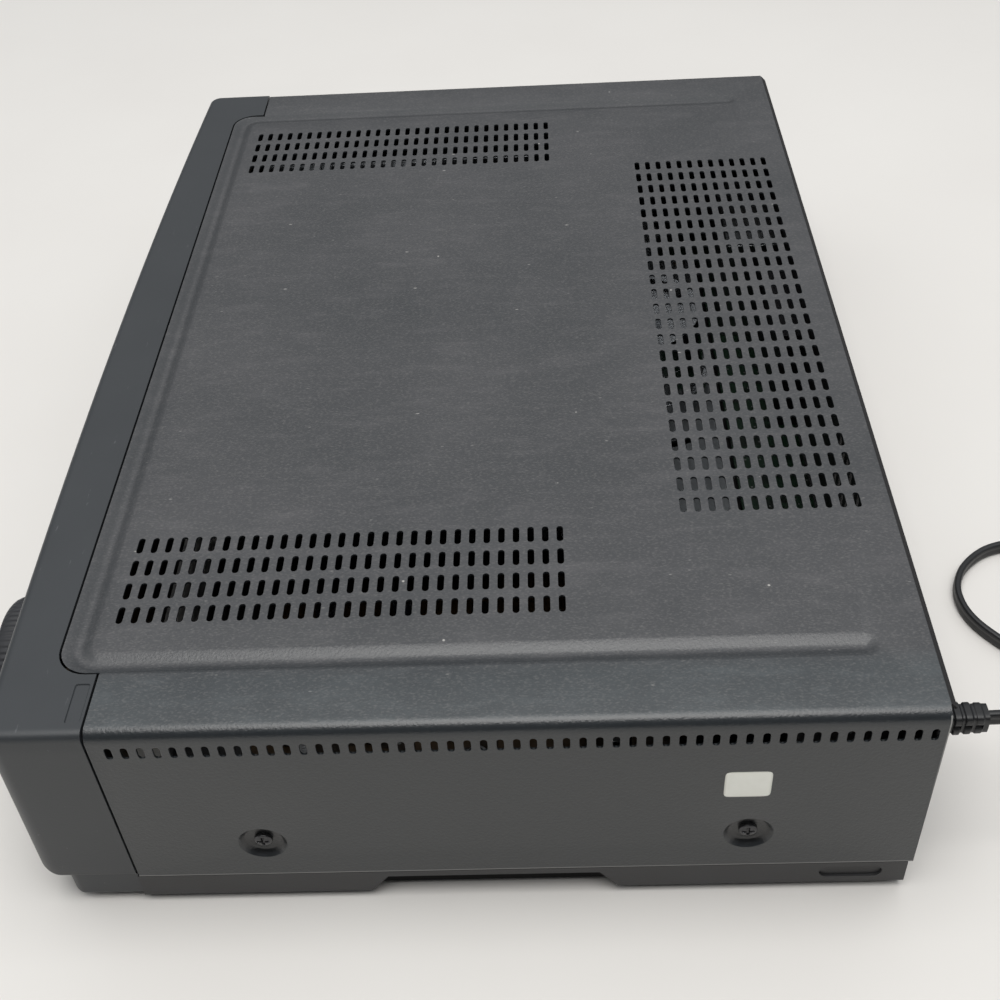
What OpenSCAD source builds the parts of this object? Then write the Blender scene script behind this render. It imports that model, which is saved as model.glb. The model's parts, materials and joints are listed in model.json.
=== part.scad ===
// Home video cassette recorder, front loading, with its lid, tape deck, boards and mains lead.
// X runs to the right seen from the front, Y to the rear and Z up. The table is at z = 0.

/* [Case] */
// Width over the side walls of the cover
body_w = 430; // [424:1:440]
// Height from the table to the top of the cover
body_h = 93; // [92.5:0.5:100]
// Depth from the middle of the bowed front to the rear lip of the cover
body_d = 300; // [298:1:320]
// How far the middle of the front stands ahead of its corners
front_bow = 4.3; // [3:0.1:6]
// Plan radius of the front corners
corner_r = 6; // [4:0.5:8]
// Thickness of the cover's steel sheet
sheet = 0.8; // [0.6:0.1:1]
// Outer bend radius along the cover's top edges
bend_r = 3; // [2:0.25:4]
// Wall of the moulded front panel and main frame
wall = 2.5; // [2:0.1:3]
// Side gap between the cover and the frame inside it
cover_fit = 0.2; // [0.1:0.05:0.3]
// Width of the seams between the cover and the front panel
seam = 0.8; // [0.5:0.1:1.2]
// Depth of the front panel along its sides
panel_side_d = 36; // [34:0.5:40]
// Height of the frame's skirt below the cover
skirt_h = 11.5; // [10:0.5:12.5]
// How far the rear lip stands behind the cover's top
lip_out = 1.2; // [0.8:0.1:2]
// How far the rear panel is set in from the cover's rear edge
rear_inset = 1.7; // [1:0.1:3]
// Thickness of the rear panel
rear_t = 1.5; // [1:0.1:2]

/* [Cover] */
// Length of the tongue that the cover's top puts into the front panel
tongue_d = 14.5; // [12:0.5:18]
// Width of the panel's corner tab beside the tongue
tab_w = 25.4; // [22:0.2:30]
// Plan radius of the tongue's corners
tongue_r = 10; // [6:0.5:12]
// Pitch of the vent slots along the depth
slot_pitch = 5.03; // [4.9:0.01:5.06]
// Pitch of the vent rows across the width
row_pitch = 10.92; // [10.5:0.02:11]
// Length of a top vent slot
slot_l = 7.5; // [6:0.25:9]
// Width of every vent slot
slot_w = 2.3; // [1.8:0.1:2.8]
// Height of a slot in the side row
side_slot_h = 5.5; // [4:0.25:7]
// Slots in a front vent row
front_slots = 30; // [20:1:30]
// Slots in a rear vent row
rear_slots = 13; // [8:1:13]
// Rear vent rows across the width
rear_rows = 23; // [15:1:25]
// Width of the pressed bead
bead_w = 12; // [9:0.5:13]
// Depth of the pressed bead
bead_deep = 0.7; // [0.4:0.1:1]
// Outer radius of a screw dimple
dimple_r = 8.5; // [7:0.25:9]
// Depth of a screw dimple
dimple_deep = 2.2; // [1.5:0.1:2.6]
// Height of the side screws above the table
screw_z = 34; // [31:0.5:37]
// Shank radius of the cover screws
screw_r = 1.5; // [1.25:0.05:1.75]
// Head radius of the cover screws
head_r = 2.9; // [2.6:0.1:3.4]

/* [Frame] */
// Height of the rubber feet
foot_h = 4; // [3.5:0.5:6]
// Radius of the rubber feet
foot_r = 9; // [7:0.5:11]
// Thickness of the frame's floor with its plate pocket
floor_t = 3.3; // [3:0.1:4]
// Length of the lifting recess along each side
grip_l = 72; // [60:1:85]
// Height of the lifting recess above the skirt's lower edge
grip_h = 8.4; // [7:0.2:9]
// Depth of the lifting recess into the frame
grip_d = 5; // [4.5:0.5:14]
// Height of the posts under the circuit boards
board_post = 6.7; // [5:0.1:8]
// Thickness of the circuit boards
board_t = 1.6; // [1.2:0.1:2]

/* [Front] */
// Height of the set-back plinth under the front panel
plinth_h = 12.5; // [11.5:0.5:14]
// How far the plinth is set back from the front
plinth_in = 7; // [4:0.5:9]
// Width of the cassette slot
mouth_w = 192; // [191:0.5:194]
// Height of the cassette door
door_h = 28; // [27:0.5:28.5]
// Thickness of the cassette door
door_t = 2.2; // [1.8:0.1:2.4]
// Distance of the dial's centre from the right side
dial_in = 70; // [65:1:73]
// Distance of the dial's centre below the top
dial_down = 49; // [47:1:51]
// Radius of the shuttle ring
ring_r = 27; // [24:0.5:28]
// How far the dial stands ahead of the front
dial_out = 15; // [12:0.5:18]
// Radius of the jog dial
jog_r = 17; // [14:0.5:18]
// Radius of the ring's bearing hub
hub_r = 20; // [18.5:0.5:21]
// Width of a transport button
key_w = 17; // [14:0.5:18]
// Height of a transport button
key_h = 7; // [5.5:0.5:8]
// How far the buttons stand ahead of the front
key_out = 1.5; // [1:0.1:2.5]
// Travel of the buttons
key_travel = 0.6; // [0.4:0.1:0.7]
// Length of the display window
window_l = 150; // [130:1:160]
// Height of the display window
window_h = 22; // [16:1:24]
// Length of the front socket flap
flap_l = 56; // [50:1:60]
// Height of the front socket flap
flap_h = 20; // [18:0.5:22]

/* [Deck] */
// Place of the tape deck's middle across the width
deck_x = -45; // [-48:1:-42]
// Width of the deck plate
deck_w = 212; // [210:1:216]
// Height of the posts under the deck plate
deck_post = 12.7; // [12.5:0.1:13.5]
// Thickness of the deck plate
deck_t = 1.6; // [1.2:0.1:2]
// How far the cassette holder draws a cassette in
draw_in = 30; // [26:1:31]
// How far the cassette holder then lowers it
drop = 24; // [20:1:24.5]
// Length of the cassette holder
holder_l = 105; // [103:0.5:106]
// Outer height of the cassette holder
holder_h = 28.5; // [27.5:0.25:28.5]
// Sheet thickness of the holder, its slide and its brackets
holder_t = 1.2; // [1:0.1:1.4]
// Radius of the head drum
drum_r = 31; // [29:0.5:31.5]
// Tilt of the head drum towards the front
drum_tilt = 5; // [3:0.5:6]
// Radius of the path that the guide posts take round the drum
guide_path_r = 50; // [49:0.5:51]
// Angle that the guide posts turn through round the drum
guide_sweep = 85; // [75:1:88]
// Spacing of the two reel tables
reel_gap = 92; // [88:1:96]
// Radius of a reel table
reel_r = 22; // [19:0.5:24]
// Radius of the capstan shaft
capstan_r = 1.5; // [1.25:0.05:2]
// Radius of the capstan's flywheel
flywheel_r = 24; // [20:0.5:25]
// Radius of the pinch roller
pinch_r = 5.5; // [5:0.25:6]
// Module of the loading gears
gear_m = 1; // [0.9:0.05:1]
// Teeth on the cam gear
cam_teeth = 32; // [28:2:34]
// Teeth on the motor pinion
pinion_teeth = 12; // [10:2:14]
// Radial running clearance of shafts in their bores
run_fit = 0.05; // [0.03:0.01:0.08]
// Gap between a resting piece and its seat
seat_gap = 0.3; // [0.2:0.05:0.4]

/* [Rear] */
// How far the sockets stand behind the rear lip
jack_out = 10; // [8:0.5:12]
// Height of the mains lead where it leaves the rear panel
lead_z = 53; // [46:1:58]
// Distance of the mains lead from the right side
lead_in = 30; // [26:1:40]
// Length of the strain relief behind the rear panel
relief_l = 26; // [24:1:28]

/* [Mains lead] */
// Width of the flat lead
lead_w = 5.8; // [5:0.1:6]
// Thickness of the flat lead
lead_t = 3.2; // [2.8:0.1:3.3]
// Free gap between neighbouring turns of the coil
turn_gap = 0.5; // [0.45:0.05:0.8]
// Mean radius of the coil's turns
coil_mean_r = 34; // [32:0.5:36]
// Turns in the coil, which winds in below and out above
coil_turns = 6.25; // [5.25:1:7.25]

/* [Hidden] */
$fn = 48;

// Case planes, worked out from the overall sizes
front_y = -(dial_out + body_d + jack_out) / 2 + dial_out;
rear_y = front_y + body_d;
cover_rear = rear_y - lip_out;
frame_rear = cover_rear - rear_inset;
panel_back = frame_rear - rear_t;
side_seam = front_y + panel_side_d;
top_seam = side_seam - tongue_d;
case_x = body_w / 2;
inner_x = case_x - sheet - cover_fit;
skirt_z = foot_h + skirt_h;
roof_z = body_h - sheet;
floor_z = foot_h + floor_t;
panel_z = foot_h + plinth_h;
bow_r = (case_x * case_x + front_bow * front_bow) / (2 * front_bow);
bow_fn = 720;
eps = 0.01;

plate_x = case_x - 52;
plate_in = 12;

// Cover features
tongue_x = case_x - tab_w;
vent_y = front_y + 38.2;
front_vent_x = tongue_x - 40.6;
rear_vent_y = cover_rear - 11.1;
side_slot_z = body_h - 9;
side_slot_y = side_seam + 7.1;
side_slots = floor((cover_rear - 4 - side_slot_y) / slot_pitch) + 1;
bead_end = cover_rear - 21;
screw_ys = [vent_y + 44.3, cover_rear - 56.3];
screw_l = 7;
head_h = 1.8;
dimple_in_r = dimple_r - 3;
rear_screw_xs = [-1, 0, 1] * (case_x - 65);
rear_screw_z = body_h - 14;

// Deck stack, from the floor up
deck_z = floor_z + deck_post;
deck_top = deck_z + deck_t;
deck_front = side_seam + 31.5;
deck_rear = deck_front + 192;
deck_half = deck_w / 2;
holder_z = body_h - 35;
holder_low_z = holder_z - drop;
holder_y = side_seam + 6.5;
holder_half = mouth_w / 2 + 0.2;
slide_half = holder_half + seat_gap + holder_t;
bracket_half = slide_half + seat_gap + holder_t;
slide_top = holder_z + holder_h + 0.6;
drum_y = holder_y + holder_l + draw_in + 46;
cassette_y = holder_y + draw_in;
reel_y = cassette_y + 45;
capstan_at = [deck_x + 62, drum_y - 30];
pinch_pivot = [deck_x + 85, drum_y - 27];
pinch_at = [deck_x + 75, drum_y - 49];
idler_at = [deck_x, reel_y - 26];
idler_wheel_at = [deck_x, reel_y];
idler_r = reel_gap / 2 - reel_r - 3.5;
tension_at = [deck_x - 76, drum_y - 52];
cam_at = [deck_x - 86, drum_y - 16];
pinion_at = cam_at + [0, gear_m * (cam_teeth + pinion_teeth) / 2];
erase_at = [deck_x - 65, drum_y - 20];
control_at = [deck_x + 67, drum_y - 9];
deck_post_r = 5;
corner_in = [3.2, 7];
stator_r = 11;
bearing_r = 6;
bearing_h = 5;
pilot_r = 1.2;
pin_r = 2;
reel_pin_h = 14;
pivot_pin_h = 16;
arm_pin_h = 8;
path_half = 2;

// Door, window, flap and front board
door_z = holder_z + 0.4;
door_axis_y = front_y + wall + 2.7;
door_axis_z = door_z + door_h - 1.5;
door_pin_r = 1.2;
door_half = mouth_w / 2 - 0.7;
ear_t = 3.4;
ear_gap = 0.5;
door_pin_l = 0.7 + ear_gap + ear_t;
spring_l = 6;
spring_r = 2.2;
spring_in_r = 1.5;
mouth_z0 = door_z - 1;
mouth_z1 = door_axis_z + 3.3;
board_y = front_y + 22.5;
flap_x = -case_x + 43;
flap_z = panel_z + 16.5;
window_x = flap_x + (flap_l + window_l) / 2 + 19;
window_z = (panel_z + mouth_z0) / 2 + 3;
dial_x = case_x - dial_in;
dial_z = body_h - dial_down;
flap_t = 2.2;
flap_pin_r = 0.8;
flap_half = flap_l / 2 - 0.3;
flap_axis_y = face_y(flap_x - flap_l / 2) + 0.3 + flap_t / 2;
flap_axis_z = flap_z - flap_h / 2 + flap_t / 2;
board_boss_xs = [flap_x + flap_l / 2 + 9, window_x - 10, window_x + window_l / 2 + 5,
    dial_x - 45, dial_x + 45];
key_gap = 0.25;
hub_fit = 0.08;
key_z = body_h - 11.5;
key_step = key_w + 2.5;
key_xs = [for (i = [-2:2]) dial_x + 4 + i * key_step];
eject_x = deck_x + mouth_w / 2 + 19;
left_key_x = -case_x + 30;

// Works on the boards: places from the power board's near corner, and their sizes
works_d = 111;
sink_in = [44, 84];
sink_l = 44;
sink_tall = 44;
sink_fin = 10;
fin_pitch = 7;
core_in = [76, 62];
core_l = 40;
core_w = 34;
core_tall = 30;
winding_l = 28;
winding_w = 42;
reservoir_in = [22, 40];
reservoir_r = 11;
reservoir_h = 32;
smoother_in = [[55, 18], [70, 18], [85, 18], [100, 18], [20, 70], [36, 74]];
smoother_r = 5;
smoother_h = 14;
small_cap_r = 4;
small_cap_h = 9;
board_cap_h = 11;
cap_row = 31;
cap_stagger = 9;
can_l = 64;
can_w = 26;
can_h = 52;

// Boards
board_z = floor_z + board_post;
board_top = board_z + board_t;
board_edge = case_x - grip_d - wall - 2.5;
power_x0 = deck_x + deck_half + 8;
power_y0 = deck_front;
works_y = panel_back - works_d;
left_board_w = deck_x - deck_half - 5 + board_edge;
cap_step = (board_edge - power_x0 - 27) / 6;
rear_strip_y = deck_rear + 4;

// Sockets and lead
tuner_x = -case_x + 97;
av_x = -case_x + 173;
lead_x = case_x - lead_in;
relief_y = frame_rear;
lead_exit_y = relief_y + relief_l;

// The lead's free route in millimetres, from the strain relief to the coil
route = [
    [lead_x, lead_exit_y, lead_z], [lead_x, lead_exit_y + 8, lead_z],
    [lead_x, 193, 51.5], [lead_x, 204, 45], [184, 214, 34], [183, 223, 21], [181, 232, 10],
    [178, 240, 4], [173, 247, 2], [165, 251, 1.7], [155, 250, 1.7], [144, 244, 1.7],
    [134, 235, 1.7], [125, 225, 1.7], [116, 216, 1.7], [108, 208, 1.7], [99, 201, 1.7],
    [90, 197.5, 1.7], [80, 197.5, 1.7], [70, 202, 1.7], [62, 210, 1.7], [57, 220, 1.7],
    [54, 233, 1.7], [52, 248, 1.7], [51.5, 265, 1.7], [51.5, 282, 1.7], [51.5, 300, 1.7]
];

// Front face of the bowed panel at a place across the width
function face_y(x) = front_y + bow_r - sqrt(bow_r * bow_r - x * x);

// Plan corner of the deck plate's posts, one of four
function deck_corner(sx, sy) = [
    deck_x + sx * (deck_half - corner_in[0]),
    sy < 0 ? deck_front + corner_in[1] : deck_rear - corner_in[1]
];

// Box from one corner to the opposite one
module block(a, b) {
    translate(a) cube(b - a);
}

// Upright cylinder from z0 to z1
module post(at, z0, z1, r) {
    translate([at[0], at[1], z0]) cylinder(h = z1 - z0, r = r);
}

// Cylinder along Y from y0 to y1
module rod_y(x, z, y0, y1, r) {
    translate([x, y0, z]) rotate([-90, 0, 0]) cylinder(h = y1 - y0, r = r);
}

// Cylinder along X from x0 to x1
module rod_x(y, z, x0, x1, r) {
    translate([x0, y, z]) rotate([0, 90, 0]) cylinder(h = x1 - x0, r = r);
}

// Slot outline with round ends, long along X
module slot2d(length, width) {
    square([length - width, width], center = true);
    for (s = [-1, 1])
        translate([s * (length - width) / 2, 0]) circle(d = width);
}

// Rectangle with round corners from a to b
module round_rect(a, b, r) {
    translate([a[0] + r, a[1]]) square([b[0] - a[0] - 2 * r, b[1] - a[1]]);
    translate([a[0], a[1] + r]) square([b[0] - a[0], b[1] - a[1] - 2 * r]);
    for (x = [a[0] + r, b[0] - r], y = [a[1] + r, b[1] - r])
        translate([x, y]) circle(r = r);
}

// Plan of the bowed front, set in by ix at the sides and iy at the front
module plan(ix, iy, r, back) {
    cx = case_x - ix - r;
    cy = face_y(cx) + iy + r;
    intersection() {
        translate([0, front_y + bow_r + iy]) circle(r = bow_r, $fn = bow_fn);
        translate([-cx, front_y - 1]) square([2 * cx, back - front_y + 1]);
    }
    translate([-case_x + ix, cy]) square([2 * (case_x - ix), back - cy]);
    for (s = [-1, 1]) translate([s * cx, cy]) circle(r = r);
}

// Solid between the bowed face set in by near and by far, before the plane y = back
module bowed_slab(near, far, back) {
    difference() {
        linear_extrude(body_h) plan(eps, near, corner_r, back);
        translate([0, 0, -1]) linear_extrude(body_h + 2) plan(far, far, corner_r, back + 1);
    }
}

// Outline of the cover's tongue, grown by the seam where the panel is cut for it
module tongue2d(grow) {
    round_rect([-tongue_x - grow, top_seam + seam - grow],
        [tongue_x + grow, side_seam + 40], tongue_r + grow);
}

// Path of the pressed bead as a band of one width, round the front of the top
module bead2d(width) {
    lane = tongue_x - bead_w / 2;
    front = top_seam + seam + bead_w / 2;
    r = tongue_r - bead_w / 2 + 4;
    for (s = [-1, 1]) {
        translate([s * lane - width / 2, front + r]) square([width, bead_end - front - r]);
        translate([s * lane, bead_end]) circle(d = width);
        translate([s * (lane - r), front + r]) intersection() {
            difference() {
                circle(r = r + width / 2);
                circle(r = r - width / 2);
            }
            translate([s > 0 ? 0 : -r - width, -r - width]) square([r + width, r + width]);
        }
    }
    translate([-lane + r, front - width / 2]) square([2 * (lane - r), width]);
}

// Places of the cover's side screws, each side and each depth
module at_side_screws() {
    for (s = [-1, 1], y = screw_ys)
        translate([s * case_x, y, screw_z]) rotate([0, s * 90, 0]) children();
}

// Moulded frame: floor, side walls, skirt, lifting recesses and the posts that carry the works
module main_frame() color("dimgray") {
    wall_top = screw_z + dimple_r;
    seat = dimple_deep + sheet;
    difference() {
        union() {
            block([-inner_x, side_seam, foot_h], [inner_x, frame_rear, floor_z]);
            for (s = [-1, 1]) {
                x = s > 0 ? inner_x - wall : -inner_x;
                block([x, side_seam, foot_h], [x + wall, frame_rear, skirt_z]);
                block([x, side_seam, foot_h], [x + wall, panel_back - cover_fit, wall_top]);
            }
            for (s = [-1, 1]) {
                x = s > 0 ? inner_x - wall : -case_x;
                block([x, side_seam, foot_h], [x + wall + case_x - inner_x, frame_rear, skirt_z - seat_gap]);
            }
            block([-inner_x, frame_rear - wall, foot_h], [inner_x, frame_rear, skirt_z]);
            block([-inner_x, side_seam, foot_h], [inner_x, side_seam + wall, skirt_z]);
            for (s = [-1, 1])
                translate([s * (inner_x - (grip_d + wall) / 2), vent_y + 119.8, (foot_h + skirt_z) / 2])
                    cube([grip_d + wall, grip_l + 20, skirt_h], center = true);
            at_side_screws()
                translate([0, 0, -seat - screw_l]) cylinder(h = screw_l + 1.5, r = dimple_r + 1.5);
            for (sx = [-1, 1], sy = [-1, 1])
                post(deck_corner(sx, sy), floor_z - 1, deck_z, deck_post_r);
            for (x = [-board_edge + 6, deck_x + deck_half - 8], y = [panel_back - 8])
                post([x, y], floor_z - 1, board_z, 4);
            post([-board_edge + 6, deck_front - 10], floor_z - 1, board_z, 4);
            for (x = [power_x0 + 6, board_edge - 6], y = [power_y0 + 6, panel_back - 8])
                post([x, y], floor_z - 1, board_z, 4);
        }
        block([-plate_x - 0.3, side_seam + plate_in - 0.3, foot_h - 1],
            [plate_x + 0.3, frame_rear - plate_in + 0.3, foot_h + sheet]);
        floor_vents();
        at_side_screws() {
            translate([0, 0, -seat]) cylinder(h = seat + 1, r = dimple_r + 0.4);
            translate([0, 0, -seat - screw_l - 1]) cylinder(h = screw_l + 2, r = screw_r + run_fit);
        }
        for (s = [-1, 1])
            translate([s * case_x, vent_y + 119.8, foot_h]) rotate([0, 0, 90 - s * 90])
                translate([-grip_d, 0, 0]) rotate([90, 0, 90]) linear_extrude(grip_d + 1)
                    polygon([
                        [-grip_l / 2 - 7, -1], [grip_l / 2 + 7, -1],
                        [grip_l / 2, grip_h], [-grip_l / 2, grip_h]
                    ]);
        for (s = [-1, 1])
            translate([s * inner_x, cover_rear - 20.3, foot_h + 6]) rotate([90, 0, 90])
                linear_extrude(3, center = true) slot2d(21, 6);
        for (sx = [-1, 1], sy = [-1, 1])
            post(deck_corner(sx, sy), deck_z - 8, deck_z + 1, pilot_r);
    }
}

// Steel plate in the pocket under the frame, with rows of vents
module bottom_plate() color("silver") {
    difference() {
        block([-plate_x, side_seam + plate_in, foot_h], [plate_x, frame_rear - plate_in, foot_h + sheet]);
        floor_vents();
    }
}

// Vents through the plate and the frame's floor, under the power board
module floor_vents() {
    for (x = [75:12:147], y = [side_seam + 60:30:side_seam + 180])
        translate([x, y, foot_h - 1]) linear_extrude(floor_t + 2) rotate(90) slot2d(22, 4);
}

// Four rubber feet under the frame's corners
module feet() color("#222222") {
    for (s = [-1, 1], y = [side_seam + 22, frame_rear - 28])
        difference() {
            post([s * (case_x - 32), y], 0, foot_h, foot_r);
            post([s * (case_x - 32), y], -1, 1.5, foot_r * 0.45);
        }
}

// Pressed steel cover: top, two sides, tongue, bead, vents, screw dimples and the rear lip
module top_cover() color("#3b3b3d") {
    start = side_seam + seam;
    depth = cover_rear - start;
    difference() {
        union() {
            translate([0, cover_rear, 0]) rotate([90, 0, 0]) linear_extrude(depth) cover2d();
            translate([0, 0, roof_z]) linear_extrude(sheet) intersection() {
                tongue2d(0);
                translate([-case_x, top_seam]) square([body_w, panel_side_d + 10]);
            }
            translate([0, 0, roof_z - bead_deep]) linear_extrude(bead_deep + sheet / 2)
                bead2d(bead_w - 2 * bead_deep);
            block([-case_x + 13, frame_rear - 1, roof_z - 1], [case_x - 13, rear_y, roof_z + eps]);
            at_side_screws() translate([0, 0, -dimple_deep - sheet])
                cylinder(h = dimple_deep + sheet / 2, r1 = dimple_in_r + sheet, r2 = dimple_r + 0.3);
        }
        translate([0, 0, roof_z + sheet - bead_deep]) linear_extrude(bead_deep + 1)
            bead2d(bead_w - 4);
        translate([0, 0, roof_z - 5]) linear_extrude(sheet + 10) vents2d();
        rotate([90, 0, 90]) linear_extrude(body_w + 20, center = true)
            for (j = [0:side_slots - 1])
                translate([side_slot_y + j * slot_pitch, side_slot_z])
                    rotate(90) slot2d(side_slot_h, slot_w);
        at_side_screws() {
            translate([0, 0, -dimple_deep])
                cylinder(h = dimple_deep + eps, r1 = dimple_in_r, r2 = dimple_r);
            translate([0, 0, -dimple_deep - sheet - 1]) cylinder(h = 9, r = screw_r + 0.3);
        }
    }
}

// Cross-section of the cover: an upside-down channel with bent corners
module cover2d() {
    difference() {
        bent_channel(case_x, body_h, bend_r);
        bent_channel(case_x - sheet, roof_z, bend_r - sheet);
    }
}

module bent_channel(half, top, r) {
    translate([-half, skirt_z]) square([2 * half, top - r - skirt_z]);
    translate([-half + r, skirt_z]) square([2 * (half - r), top - skirt_z]);
    for (s = [-1, 1]) translate([s * (half - r), top - r]) circle(r = r);
}

// All vents of the cover's top: two front groups and the rear group
module vents2d() {
    for (s = [-1, 1], i = [-1.5:1:1.5], j = [0:front_slots - 1])
        translate([s * front_vent_x + i * row_pitch, vent_y + j * slot_pitch])
            slot2d(slot_l, slot_w);
    for (i = [0:rear_rows - 1], j = [0:rear_slots - 1])
        translate([(i - (rear_rows - 1) / 2) * row_pitch, rear_vent_y - j * slot_pitch])
            slot2d(slot_l, slot_w);
}

// One cross-headed screw, head up, seated at z = 0
module screw(length) {
    difference() {
        union() {
            cylinder(h = head_h, r = head_r);
            translate([0, 0, -length]) cylinder(h = length, r = screw_r);
        }
        for (a = [0, 90])
            rotate(a) translate([-head_r * 0.6, -0.4, head_h - 1]) cube([head_r * 1.2, 0.8, 2]);
    }
}

// Four side screws in their dimples and three through the rear panel
module cover_screws() color("#2a2a2a") {
    at_side_screws() translate([0, 0, -dimple_deep]) screw(screw_l);
    for (x = rear_screw_xs)
        translate([x, frame_rear, rear_screw_z]) rotate([-90, 0, 0]) screw(screw_l);
}

// Moulded front: bowed face, top flange with corner tabs, sides and the set-back plinth
module front_panel() color("#34363a") {
    difference() {
        union() {
            difference() {
                translate([0, 0, panel_z]) linear_extrude(body_h - panel_z)
                    plan(0, 0, corner_r, side_seam);
                translate([0, 0, panel_z + wall]) linear_extrude(body_h - panel_z - 2 * wall)
                    plan(wall, wall, corner_r, side_seam + 1);
            }
            difference() {
                translate([0, 0, foot_h]) linear_extrude(plinth_h)
                    plan(sheet, plinth_in, 4, side_seam);
                translate([0, 0, foot_h + wall]) linear_extrude(plinth_h)
                    plan(sheet + wall, plinth_in + wall, 3, side_seam + 1);
            }
            for (s = [-1, 1]) {
                door_ear(s);
                flap_ear(s);
            }
            for (x = board_boss_xs) rod_y(x, panel_z + 8, face_y(x) + wall - 0.5, board_y, 3);
        }
        translate([0, 0, roof_z - bead_deep - seat_gap]) linear_extrude(wall) tongue2d(seam);
        mouth_cut();
        display_cut(0.15);
        flap_cut();
        rod_y(dial_x, dial_z, front_y - 1, front_y + 20, hub_r + hub_fit);
        for (k = key_table) key_cut(k);
        rod_x(door_axis_y, door_axis_z, deck_x - door_half - door_pin_l - 1,
            deck_x + door_half + door_pin_l + spring_l + 1, door_pin_r + run_fit);
        rod_x(flap_axis_y, flap_axis_z, flap_x - flap_half - 2, flap_x + flap_half + 2,
            flap_pin_r + run_fit);
    }
}

// Lug behind the face that carries one pin of the cassette door
module door_ear(s) {
    x = deck_x + s * (mouth_w / 2 + ear_gap + ear_t / 2);
    block([x - ear_t / 2, front_y + 2.2, door_axis_z - 4],
        [x + ear_t / 2, door_axis_y + 3.5, body_h - wall / 2]);
}

// Lug behind the face that carries one pin of the socket flap
module flap_ear(s) {
    x = flap_x + s * (flap_l / 2 + 1.5);
    block([x - 1.5, face_y(x) + 1, flap_axis_z - 2.5], [x + 1.5, flap_axis_y + 2.2, flap_axis_z + 2.5]);
}

module mouth_cut() {
    block([deck_x - mouth_w / 2, front_y - 1, mouth_z0], [deck_x + mouth_w / 2, front_y + 12, mouth_z1]);
}

module display_cut(margin) {
    block([window_x - window_l / 2 - margin, front_y - 1, window_z - window_h / 2 - margin],
        [window_x + window_l / 2 + margin, front_y + 10, window_z + window_h / 2 + margin]);
}

module flap_cut() {
    block([flap_x - flap_l / 2, front_y - 1, flap_z - flap_h / 2 - 0.5],
        [flap_x + flap_l / 2, front_y + 9, flap_z + flap_h / 2 + 0.5]);
}

// Smoked window flush with the bowed face
module display_window() color("#101216") {
    intersection() {
        bowed_slab(0.1, wall - 0.3, side_seam);
        display_cut(0);
    }
}

// Fluorescent display tube on the front board, behind the window
module display_tube() color("#33474a") {
    half = window_l / 2 - 14;
    block([window_x - half, board_y - 6, window_z - 8], [window_x + half, board_y, window_z + 8]);
    block([window_x - half + 6, board_y - 9, window_z - 6],
        [window_x + half - 6, board_y - 6, window_z + 6]);
}

// Buttons as [place across, height, width, height of cap]
key_table = [
    [left_key_x, body_h - 21, 22, 10], [eject_x, body_h - 14, 14, 10],
    [key_xs[0], key_z, key_w, key_h],
    [key_xs[1], key_z, key_w, key_h], [key_xs[2], key_z, key_w, key_h],
    [key_xs[3], key_z, key_w, key_h], [key_xs[4], key_z, key_w, key_h],
    [left_key_x, body_h - 34.5, 14, key_h]
];
switch_d = 3.5;

module key_cut(k) {
    block([k[0] - k[2] / 2 - key_gap, front_y - 1, k[1] - k[3] / 2 - key_gap],
        [k[0] + k[2] / 2 + key_gap, front_y + 12, k[1] + k[3] / 2 + key_gap]);
}

// Cap, retaining flange and stem of one button
module key(k) {
    y = face_y(k[0]);
    back = y + wall + 0.6;
    block([k[0] - k[2] / 2, y - key_out, k[1] - k[3] / 2], [k[0] + k[2] / 2, back, k[1] + k[3] / 2]);
    block([k[0] - k[2] / 2 - 0.8, back, k[1] - k[3] / 2 - 0.8],
        [k[0] + k[2] / 2 + 0.8, back + 1.2, k[1] + k[3] / 2 + 0.8]);
    block([k[0] - 2, back + 1.2, k[1] - 2],
        [k[0] + 2, board_y - switch_d - key_travel - 0.2, k[1] + 2]);
}

module power_button() color("#45474b") key(key_table[0]);
module eject_button() color("#45474b") key(key_table[1]);
module rewind_button() color("#45474b") key(key_table[2]);
module play_button() color("#45474b") key(key_table[3]);
module forward_button() color("#45474b") key(key_table[4]);
module stop_button() color("#45474b") key(key_table[5]);
module pause_button() color("#45474b") key(key_table[6]);
module record_button() color("#6a2424") key(key_table[7]);

// Upright board behind the front, with a switch for each button and the dial's encoder
module front_board() color("#5d4a2c") {
    board_low = panel_z + wall + 1;
    board_mid = holder_z - 4;
    block([-case_x + 12, board_y, board_low], [case_x - 12, board_y + board_t, board_mid]);
    block([deck_x + mouth_w / 2 + 6, board_y, board_low], [case_x - 12, board_y + board_t, body_h - 6]);
    block([-case_x + 12, board_y, board_low], [deck_x - mouth_w / 2 - 6, board_y + board_t, body_h - 6]);
    for (k = key_table)
        block([k[0] - 3, board_y - switch_d, k[1] - 3], [k[0] + 3, board_y + eps, k[1] + 3]);
    rod_y(dial_x, dial_z, board_y - 5, board_y + eps, 8);
}

// Rear panel with holes for the sockets and the mains lead
module rear_panel() color("#2f3033") {
    difference() {
        block([-inner_x, panel_back, skirt_z], [inner_x, frame_rear, roof_z - 1.2]);
        for (z = rf_zs) rod_y(tuner_x, z, panel_back - 1, frame_rear + 1, rf_r + 0.25);
        for (x = av_xs, z = av_zs) rod_y(x, z, panel_back - 1, frame_rear + 1, rca_collar_r + 0.25);
        for (x = rear_screw_xs) rod_y(x, rear_screw_z, panel_back - 1, frame_rear + 1, screw_r + run_fit);
        translate([lead_x, frame_rear + 1, lead_z]) rotate([90, 0, 0])
            linear_extrude(rear_t + 2) round_rect([-6, -5], [6, 5], 0.5);
        for (i = [0:9])
            translate([60 + i * 7, frame_rear + 1, 58]) rotate([90, 0, 0])
                linear_extrude(rear_t + 2) rotate(90) slot2d(26, 3);
    }
}
rf_r = 4.75;
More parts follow.
